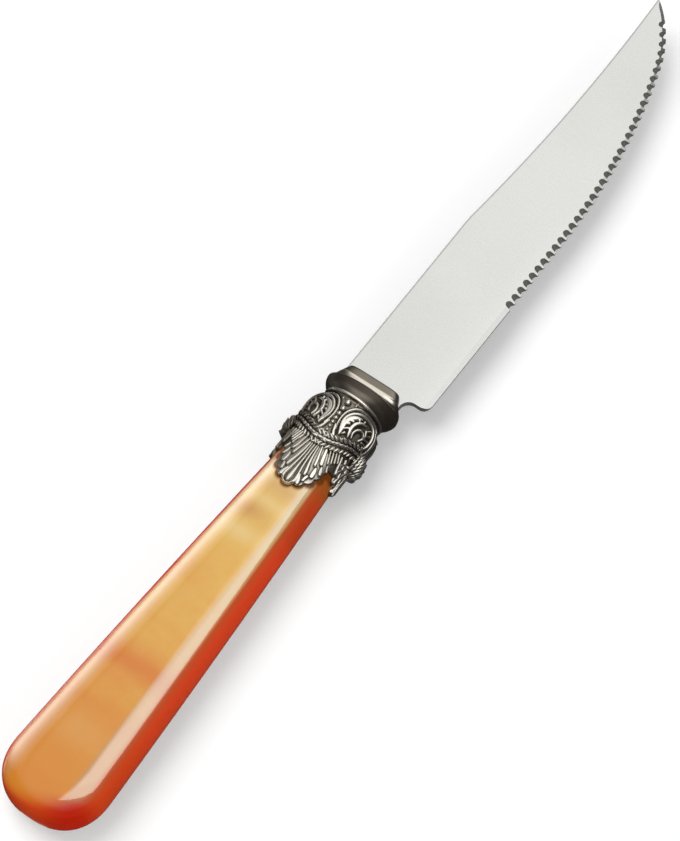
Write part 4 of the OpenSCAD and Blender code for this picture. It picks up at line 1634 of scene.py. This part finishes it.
def build_leaf_tree() -> bpy.types.NodeTree:
    """Builds the tree that sets leaves along lines, turned to one side of the run and lifted off it.

    Returns:
        The tree, whose inputs are the leaf, its finish, pitch, splay, tilt, unevenness and seed.
    """
    canvas, sockets = new_repeat_tree("leaves_on_runs", "Leaf", {
        "Pitch": (FLOAT, 0.0006),
        "Splay": (FLOAT, 0.8),
        "Tilt": (FLOAT, 0.25),
        "Unevenness": (FLOAT, 0.12),
        "Seed": ("NodeSocketInt", 7),
    })
    line = canvas.node("GeometryNodeMeshToCurve", {"Mesh": sockets["Geometry"]}).outputs[0]
    along = {"Curve": line, "Length": sockets["Pitch"]}
    stops = canvas.node("GeometryNodeCurveToPoints", along, mode="LENGTH").outputs["Points"]
    outward = canvas.named("outward", "FLOAT_VECTOR")
    heading = canvas.named("heading", "FLOAT_VECTOR")
    angle = canvas.math("MULTIPLY", canvas.named("splay", "FLOAT"), sockets["Splay"])
    crossed = canvas.vector("CROSS_PRODUCT", {0: outward, 1: heading})
    forward = canvas.vector("SCALE", {0: heading, "Scale": canvas.math("COSINE", angle)})
    sideways = canvas.vector("SCALE", {0: crossed, "Scale": canvas.math("SINE", angle)})
    flat = canvas.vector("ADD", {0: forward, 1: sideways})
    upright = canvas.node("FunctionNodeAlignRotationToVector", {"Vector": outward}, axis="Z").outputs[0]
    turn = {"Rotation": upright, "Vector": flat}
    pointed = canvas.node("FunctionNodeAlignRotationToVector", turn, axis="X", pivot_axis="Z").outputs[0]
    rise = canvas.node("ShaderNodeCombineXYZ", {"Y": canvas.math("MULTIPLY", sockets["Tilt"], -1.0)})
    tilt = canvas.node("FunctionNodeEulerToRotation", {0: rise.outputs[0]}).outputs[0]
    lean = {"Rotation": pointed, "Rotate By": tilt}
    chance = canvas.node(
        "FunctionNodeRandomValue",
        {
            2: canvas.math("SUBTRACT", 1.0, sockets["Unevenness"]),
            3: canvas.math("ADD", 1.0, sockets["Unevenness"]),
            "Seed": sockets["Seed"],
        },
        data_type="FLOAT",
    )
    return end_repeat_tree(canvas, sockets["Leaf"], sockets["Finish"], {
        "Points": stops,
        "Rotation": canvas.node("FunctionNodeRotateRotation", lean, rotation_space="LOCAL").outputs[0],
        "Scale": chance.outputs[1],
    })


@dataclass
class Pearls:
    """Pearls down the middle of each face and round the outer curve of each scroll."""

    shell: Shell
    middle: tuple[Point, ...] = (
        (-2.15, 0.78), (-3.9, 0.64), (-5.25, 0.55), (-6.45, 0.5), (-7.55, 0.46), (-8.6, 0.41), (-9.55, 0.36),
    )
    edge: tuple[Point, ...] = ((-9.2, 10.2), (-7.6, 11.1), (-6.0, 11.4), (-4.1, 10.95), (-2.7, 9.9))
    edge_radius: float = 0.23
    edge_gap: float = 0.5
    sunk: float = 0.55
    sunk_share: float = 0.35

    def ball(self) -> bpy.types.Object:
        """Makes the pearl that is repeated, 1 mm in radius and round all over.

        Returns:
            The pearl.
        """
        rows, around = 9, 16
        points = [(0.0, 0.0, -1.0)]
        for tilt in (math.pi * i / rows for i in range(1, rows)):
            for turn in (2 * math.pi * j / around for j in range(around)):
                reach = math.sin(tilt)
                points.append((reach * math.cos(turn), reach * math.sin(turn), -math.cos(tilt)))
        points.append((0.0, 0.0, 1.0))
        faces = [(0, 1 + (j + 1) % around, 1 + j) for j in range(around)]
        for i in range(rows - 2):
            for j in range(around):
                a, b = 1 + i * around + j, 1 + i * around + (j + 1) % around
                faces.append((a, b, b + around, a + around))
        top, last = len(points) - 1, 1 + (rows - 2) * around
        faces += [(top, last + j, last + (j + 1) % around) for j in range(around)]
        return template("pearl", np.array(points), faces, np.array([max(0.0, point[2]) for point in points]))

    def build(self, finish: bpy.types.Material) -> bpy.types.Object:
        """Makes all the pearls of both faces as one piece.

        Args:
            finish: The pearls' material.

        Returns:
            The piece.
        """
        line = Stroke(tuple((a, b, 1.0) for a, b in self.edge), 1.0).samples()
        run = np.concatenate([[0], np.cumsum(np.hypot(*np.diff(line[:, :2], axis=0).T))])
        stops = np.arange(0, run[-1], self.edge_gap)
        edge_x, edge_s = (np.interp(stops, run, line[:, i]) for i in (0, 1))
        middle = np.array(self.middle)
        x = np.concatenate([middle[:, 0], edge_x, edge_x])
        s = np.concatenate([0 * middle[:, 0], -edge_s, edge_s])
        radius = np.concatenate([middle[:, 1], np.full(2 * len(stops), self.edge_radius)])
        points, outward = [], []
        for face in (Side.FRONT, Side.BACK):
            arc = s + face.value * self.shell.quarter(x)
            points.append(self.shell.lifted(x, arc, radius * self.sunk_share - self.sunk))
            outward.append(self.shell.outward(x, arc))
        base = seed_mesh(
            "pearl_places", np.concatenate(points), [], {"outward": np.concatenate(outward)},
            {"radius": np.tile(radius, 2)},
        )
        return run_nodes("collar_pearls", build_pearl_tree(), base, {"Pearl": self.ball(), "Finish": finish})


@dataclass(frozen=True)
class LeafRun:
    """A line that leaves are set along."""

    points: Array
    outward: Array
    splay: float

    @property
    def heading(self) -> Array:
        """The line's unit ways at its points."""
        way = np.gradient(self.points, axis=0)
        return way / np.linalg.norm(way, axis=1, keepdims=True)


@dataclass
class Laurel:
    """Swag of laurel leaves across each face, gathered in a hanging bunch at each side."""

    shell: Shell
    run: tuple[Point, ...] = (
        (-9.1, -9.4), (-9.4, -8.2), (-9.8, -6.6), (-10.6, -4.6), (-11.4, -2.5), (-11.85, 0.0),
    )
    row_offset: float = 0.5
    middle_lift: float = 0.02
    outer_lift: float = -0.1
    leaf_length: float = 1.8
    leaf_half_width: float = 0.38
    leaf_height: float = 0.36
    leaf_underside: float = -0.08
    pitch: float = 0.92
    splay: float = 0.75
    tilt: float = 0.2
    seed: int = 7
    bunch_x: float = -10.9
    bunch_y: float = 7.3
    bunch_radii: Point = (2.8, 1.75, 2.3)
    bunch_splay: float = 0.25
    core_shares: Point = (0.97, 0.93, 0.93)

    def leaf(self) -> bpy.types.Object:
        """Makes the leaf that is repeated: a pointed oval with a midrib, closed below.

        Returns:
            The leaf, with its root at 0 and its tip along X.
        """
        rows, points, worn = 9, [], []
        section = ((-1, 0.0), (-0.8, 0.62), (-0.3, 0.86), (0, 1.0), (0.3, 0.86), (0.8, 0.62), (1, 0.0))
        for t in (i / (rows - 1) for i in range(rows)):
            half = self.leaf_half_width * math.sin(math.pi * min(0.999, 0.04 + 0.95 * t)) ** 0.75
            lift = self.leaf_height * (0.35 + 0.65 * math.sin(math.pi * min(1.0, 0.1 + 0.85 * t)))
            points += [(t * self.leaf_length, side * half, rise * lift) for side, rise in section]
            points.append((t * self.leaf_length, 0.0, self.leaf_underside))
            worn += [0.15 + 0.85 * rise for _, rise in section] + [0.0]
        faces = closed_tube(rows, len(section) + 1)
        made = template("laurel_leaf", np.array(points), faces, np.array(worn))
        turn_outward(made)
        return made

    def swag_runs(self) -> list[LeafRun]:
        """Returns the rows of leaves on both faces."""
        line = Stroke(tuple((a, b, 1.0) for a, b in self.run), 1.0).samples()[:, :2]
        step = np.gradient(line, axis=0)
        step /= np.linalg.norm(step, axis=1, keepdims=True)
        runs = []
        for face in (Side.FRONT, Side.BACK):
            for mirror in (1, -1):
                for splay in (-1.0, 0.0, 1.0):
                    x = line[:, 0] - step[:, 1] * splay * self.row_offset
                    s = line[:, 1] + step[:, 0] * splay * self.row_offset
                    arc = mirror * s + face.value * self.shell.quarter(x)
                    lift = self.middle_lift if splay == 0 else self.outer_lift
                    points = self.shell.lifted(x, arc, np.full(len(x), lift))
                    runs.append(LeafRun(points, self.shell.outward(x, arc), splay * mirror))
        return runs

    def bunch_runs(self) -> list[LeafRun]:
        """Returns the rows of leaves that hang over each side's bunch."""
        runs = []
        radii = np.array(self.bunch_radii)
        t = np.radians(np.linspace(155, 40, 40))
        for side in (1, -1):
            centre = np.array([self.bunch_x, side * self.bunch_y, 0.0])
            for turn in np.radians(np.arange(-80, 81, 20)):
                ball = np.column_stack([
                    np.cos(t), side * np.sin(t) * math.cos(turn), np.sin(t) * math.sin(turn),
                ])
                normal = ball / radii
                normal /= np.linalg.norm(normal, axis=1, keepdims=True)
                splay = self.bunch_splay * side * np.sign(turn)
                runs.append(LeafRun(centre + ball * radii, normal, splay))
        return runs

    def cores(self) -> bpy.types.Object:
        """Makes the bodies under the two bunches.

        Returns:
            Both bodies as one piece.
        """
        rows, around = 20, 32
        points, faces = [], []
        a, b, c = (radius * share for radius, share in zip(self.bunch_radii, self.core_shares))
        for side in (1, -1):
            first = len(points)
            for i in range(rows + 1):
                t = math.pi * (0.02 + 0.96 * i / rows)
                for j in range(around):
                    turn = 2 * math.pi * j / around
                    points.append((
                        self.bunch_x + a * math.cos(t),
                        side * self.bunch_y + b * math.sin(t) * math.cos(turn),
                        c * math.sin(t) * math.sin(turn),
                    ))
            faces += [tuple(first + k for k in face) for face in closed_tube(rows + 1, around)]
        piece = make_piece("laurel_bunch_bodies", np.array(points), faces, {"worn": np.zeros(len(points))})
        turn_outward(piece)
        return piece

    def build(self, finish: bpy.types.Material) -> bpy.types.Object:
        """Makes the swags and bunches as one piece.

        Args:
            finish: The leaves' material.

        Returns:
            The piece.
        """
        runs = self.swag_runs() + self.bunch_runs()
        edges, first = [], 0
        for run in runs:
            last = first + len(run.points) - 1
            edges += [(i, i + 1) for i in range(first, last)]
            first = last + 1
        base = seed_mesh(
            "laurel_runs", np.concatenate([run.points for run in runs]), edges,
            {
                "outward": np.concatenate([run.outward for run in runs]),
                "heading": np.concatenate([run.heading for run in runs]),
            },
            {"splay": np.concatenate([np.full(len(run.points), run.splay) for run in runs])},
        )
        return run_nodes("laurel_swag", build_leaf_tree(), base, {
            "Leaf": self.leaf(),
            "Finish": finish,
            "Pitch": self.pitch * MM,
            "Splay": self.splay,
            "Tilt": self.tilt,
            "Seed": self.seed,
        })


@dataclass
class Blade:
    """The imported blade, dressed as satin ground steel."""

    spine_normal: float = 0.97
    spine_count: int = 30

    def spine(self, mesh: bpy.types.Mesh) -> Array:
        """Reads the spine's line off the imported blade.

        Args:
            mesh: The blade's mesh.

        Returns:
            Evenly spaced places along the spine, each with its height.
        """
        rim = {v for face in mesh.polygons if face.normal.y > self.spine_normal for v in face.vertices}
        line = np.array(sorted(tuple(mesh.vertices[v].co)[:2] for v in rim))
        start = AXIS.seam_x + Bolster.length * MM
        line = line[line[:, 0] > start]
        at = np.linspace(start, line[-1, 0], self.spine_count)
        return np.column_stack([at, np.interp(at, line[:, 0], line[:, 1])])

    def build(self) -> bpy.types.Object:
        """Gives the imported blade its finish."""
        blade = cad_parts["blade"]
        dress(blade, GroundSteel().material(self.spine(blade.data)))
        return blade


def dress_cement() -> bpy.types.Object:
    """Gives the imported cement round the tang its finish."""
    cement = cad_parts["tang_cement"]
    dress(cement, TangCement().material())
    return cement


@dataclass
class Studio:
    """White floor, soft light from above the spine side and cards that show only in glossy surfaces."""

    blade: bpy.types.Object
    handle: bpy.types.Object
    castings: Sequence[bpy.types.Object]
    floor_radius: float = 6.0
    floor_white: float = 0.8
    floor_lift: float = 0.24
    world_light: float = 0.42
    key_light: float = 1.75
    key_angle: float = 50.0
    fill_light: float = 1.1
    card_distance: float = 1.2
    near_card_distance: float = 1.1
    far_card_distance: float = 1.35
    flag_glow: float = 0.1
    floor_flag_glow: float = 0.04
    floor_card_height: float = 0.0004
    floor_card_reach: float = 1.2
    flag_turns: tuple[int, ...] = (112, 160, 208, 256, 304)
    flag_step: int = 48
    flag_top: float = 60.0
    flag_foot: float = -2.0
    lens: float = 251.7
    target: Point = (-0.007175, 0.0015, 0.0073)
    camera_way: Point = (-0.4578, -0.3283, 1.0595)

    def floor(self) -> None:
        """Lays a round white floor that keeps the knife's shadow."""
        turns = np.linspace(0, 2 * math.pi, 64, endpoint=False)
        rim = [(self.floor_radius * math.cos(t), self.floor_radius * math.sin(t), 0.0) for t in turns]
        mesh = bpy.data.meshes.new("floor")
        mesh.from_pydata(rim, [], [list(range(len(rim)))])
        floor = show("floor", mesh)
        material, canvas = new_material("white_floor")
        paper = canvas.node("ShaderNodeBsdfDiffuse", {"Color": (*[self.floor_white] * 3, 1.0)})
        seen = canvas.node("ShaderNodeLightPath").outputs["Is Camera Ray"]
        lift = canvas.node("ShaderNodeEmission", {"Strength": canvas.math("MULTIPLY", seen, self.floor_lift)})
        both = canvas.node("ShaderNodeAddShader", {0: paper.outputs[0], 1: lift.outputs[0]})
        canvas.node("ShaderNodeOutputMaterial", {"Surface": both.outputs[0]})
        mesh.materials.append(material)

    def world(self) -> None:
        """Makes the white surroundings, dimmer for plain light than for what is seen or mirrored."""
        world = bpy.data.worlds.new("studio")
        world.use_nodes = True
        world.node_tree.nodes.clear()
        canvas = Canvas(world.node_tree)
        path = canvas.node("ShaderNodeLightPath").outputs
        seen = canvas.math("MAXIMUM", path["Is Camera Ray"], path["Is Glossy Ray"])
        seen = canvas.math("MAXIMUM", seen, path["Is Transmission Ray"])
        strength = canvas.math("MULTIPLY_ADD", seen, 1.0 - self.world_light, self.world_light)
        light = canvas.node("ShaderNodeBackground", {"Color": (1, 1, 1, 1), "Strength": strength})
        canvas.node("ShaderNodeOutputWorld", {"Surface": light.outputs[0]})
        bpy.context.scene.world = world

    def lamp(self, name: str, way: Point, energy: float, angle: float, shadow: bool) -> None:
        """Adds a far soft lamp that glossy surfaces don't mirror.

        Args:
            name: The lamp's name.
            way: Direction of the lamp from the knife.
            energy: The lamp's strength.
            angle: Width in degrees over which its light comes.
            shadow: Whether things keep its light off what lies behind them.
        """
        data = bpy.data.lights.new(name, "SUN")
        data.energy = energy
        data.angle = math.radians(angle)
        data.use_shadow = shadow
        lamp = bpy.data.objects.new(name, data)
        lamp.rotation_mode = "QUATERNION"
        lamp.rotation_quaternion = Vector(way).to_track_quat("Z", "Y")
        lamp.visible_glossy = False
        bpy.context.scene.collection.objects.link(lamp)

    def card(
        self,
        name: str,
        corners: Sequence[Point],
        glows: Sequence[float],
        fades: Sequence[float] = (1.0, 1.0),
        distance: Optional[float] = None,
        seen_by: Sequence[bpy.types.Object] = (),
    ) -> None:
        """Adds a studio card that shows only in glossy surfaces.

        Args:
            name: The card's name.
            corners: The inner left, inner right, outer right and outer left corner.
            glows: The card's strength, where white is 1, at even steps from its inner to its outer edge.
            fades: Shares of that glow, at even steps from the left to the right.
            distance: How far the corners, as directions, are thrown, or None where they are places in metres.
            seen_by: The only pieces that the card lights, which also see through it, or none for all of them.
        """
        across, down = 24, 16
        inner_left, inner_right, outer_right, outer_left = (np.array(c, float) for c in corners)
        points, values = [], []
        for i in range(down + 1):
            v = i / down
            for j in range(across + 1):
                u = j / across
                inner = inner_left * (1 - u) + inner_right * u
                outer = outer_left * (1 - u) + outer_right * u
                way = inner * (1 - v) + outer * v
                if distance is not None:
                    way = way / np.linalg.norm(way) * distance
                points.append(tuple(way))
                glow = np.interp(v, np.linspace(0, 1, len(glows)), glows)
                values.append(float(glow * np.interp(u, np.linspace(0, 1, len(fades)), fades)))
        row = across + 1
        faces = [(i * row + j, i * row + j + 1, (i + 1) * row + j + 1, (i + 1) * row + j)
                 for i in range(down) for j in range(across)]
        mesh = bpy.data.meshes.new(name)
        mesh.from_pydata(points, [], faces)
        add_values(mesh, {"glow": np.array(values)})
        card = show(name, mesh)
        material, canvas = new_material(f"{name}_light")
        light = canvas.node("ShaderNodeEmission", {"Strength": canvas.attribute("glow")})
        if seen_by:
            clear = canvas.node("ShaderNodeBsdfTransparent")
            light = canvas.node("ShaderNodeAddShader", {0: light.outputs[0], 1: clear.outputs[0]})
            lit = bpy.data.collections.new(f"{name}_lights")
            for piece in seen_by:
                lit.objects.link(piece)
            card.light_linking.receiver_collection = lit
        canvas.node("ShaderNodeOutputMaterial", {"Surface": light.outputs[0]})
        mesh.materials.append(material)
        card.visible_camera = card.visible_diffuse = card.visible_shadow = card.visible_transmission = False

    def flags(self) -> None:
        """Stands dark cards round the knife and lays dark ones and a bright one on the floor."""
        glows = (1.0, 0.6, *[self.flag_glow] * 4)
        for turn in self.flag_turns:
            left, right = turn, turn + self.flag_step
            top, foot = self.flag_top, self.flag_foot
            corners = []
            for azimuth, height in ((left, top), (right, top), (right, foot), (left, foot)):
                a, e = math.radians(azimuth), math.radians(height)
                corners.append((math.cos(e) * math.cos(a), math.cos(e) * math.sin(a), math.sin(e)))
            self.card(f"flag_{turn}", corners, glows, distance=self.card_distance)
        self.card(
            "spine_flag",
            ((-0.6, 0.45, 0.85), (1.0, 0.45, 0.8), (1.0, 1.0, -0.02), (-0.6, 1.0, -0.02)),
            (0.85, 0.4, 0.17, 0.1, 0.06),
            distance=self.far_card_distance,
        )
        far, edge_y, butt_x, spine_y = self.floor_card_reach, -0.003, -0.1155, 0.004
        dark = (self.floor_flag_glow, self.floor_flag_glow)
        for name, left, right, near, wide, glows, seen_by in (
            ("edge_floor_flag", -far, far, edge_y, -far, dark, ()),
            ("butt_floor_flag", -far, butt_x, far, edge_y, dark, ()),
            ("spine_floor_flag", butt_x, far, spine_y, far, (0.03, 0.14), ()),
            ("spine_floor_light", butt_x, far, 0.023, 0.6, (1.0, 4.0, 5.2, 5.2), (self.handle,)),
        ):
            plan = ((left, near), (right, near), (right, wide), (left, wide))
            self.card(name, [(*place, self.floor_card_height) for place in plan], glows, seen_by=seen_by)

    def camera(self) -> None:
        """Adds the camera at the photograph's viewing angle."""
        data = bpy.data.cameras.new("camera")
        data.lens = self.lens
        data.sensor_width = 36.0
        data.sensor_fit = "AUTO"
        data.clip_start = 0.05
        data.clip_end = 20.0
        camera = bpy.data.objects.new("camera", data)
        back = Vector(self.camera_way)
        camera.location = Vector(self.target) + back
        camera.rotation_mode = "QUATERNION"
        camera.rotation_quaternion = (-back).to_track_quat("-Z", "Y")
        bpy.context.scene.collection.objects.link(camera)
        bpy.context.scene.camera = camera

    def build(self) -> None:
        """Sets up the floor, the lights and the camera."""
        self.floor()
        self.world()
        self.lamp("soft_key", (0.05, 0.45, 0.86), self.key_light, self.key_angle, True)
        self.lamp("soft_fill", (-0.2, -0.85, 0.35), self.fill_light, self.key_angle, False)
        self.card(
            "long_softbox",
            ((-0.35, 0.035, 0.978), (0.75, 0.045, 0.92), (0.75, -0.55, 0.74), (0.13, -0.507, 0.808)),
            (0.4, *[5.4] * 8),
            fades=(*[0.85] * 5, 1, 0.95, 0.12, *[0.1] * 5),
            distance=self.near_card_distance,
            seen_by=(self.handle,),
        )
        self.card(
            "casting_softbox",
            ((-0.4, 0.03, 0.978), (0.9, 0.03, 0.9), (0.9, -0.55, 0.74), (-0.2, -0.507, 0.808)),
            (0.55, 0.55),
            distance=self.near_card_distance,
            seen_by=self.castings,
        )
        self.card(
            "blade_softbox",
            ((-0.1, -0.3, 0.9), (0.9, -0.3, 0.8), (0.9, -0.8, 0.5), (-0.1, -0.8, 0.6)),
            (0.1, 0.5, 0.6, 0.6),
            distance=self.near_card_distance,
            seen_by=(self.blade,),
        )
        self.card(
            "edge_softbox",
            ((-0.5, 0.5, 0.8), (0.7, 0.56, 0.74), (0.7, 0.98, 0.02), (-0.5, 0.98, 0.02)),
            (0.4, 1.8, 4.2, 6.5, 6.0, 4.2),
            fades=(0, 0, 0, 0.15, 0.4, 0.7, *[1] * 7),
            distance=self.near_card_distance,
            seen_by=(self.handle,),
        )
        self.flags()
        self.camera()
        bpy.context.scene.view_settings.view_transform = "Standard"


def main() -> None:
    """Builds the knife's pieces in order, then the studio."""
    logging.basicConfig(level=logging.INFO, format="%(name)s: %(message)s")
    ornament = AntiqueCasting(
        "antique_ornament",
        dark=linear(47, 42, 34),
        middle=linear(134, 127, 114),
        bright=linear(236, 231, 220),
    ).material()
    smooth = AntiqueCasting(
        "antique_bolster",
        dark=linear(72, 64, 56),
        middle=linear(131, 124, 112),
        bright=linear(230, 222, 207),
        dark_roughness=0.36,
        bright_roughness=0.2,
        worn_shares=(0.12, 0.45, 0.85),
        tone_scale=150.0,
        unevenness=0.45,
        grain_strength=0.04,
    ).material()
    blade = Blade().build()
    dress_cement()
    handle, bolster = Handle(), Bolster()
    moulding = handle.build()
    castings = [bolster.build(smooth)]
    castings += Collar(Shell(handle, bolster)).build(ornament)
    Studio(blade, moulding, castings).build()


if __name__ == "__main__":
    main()
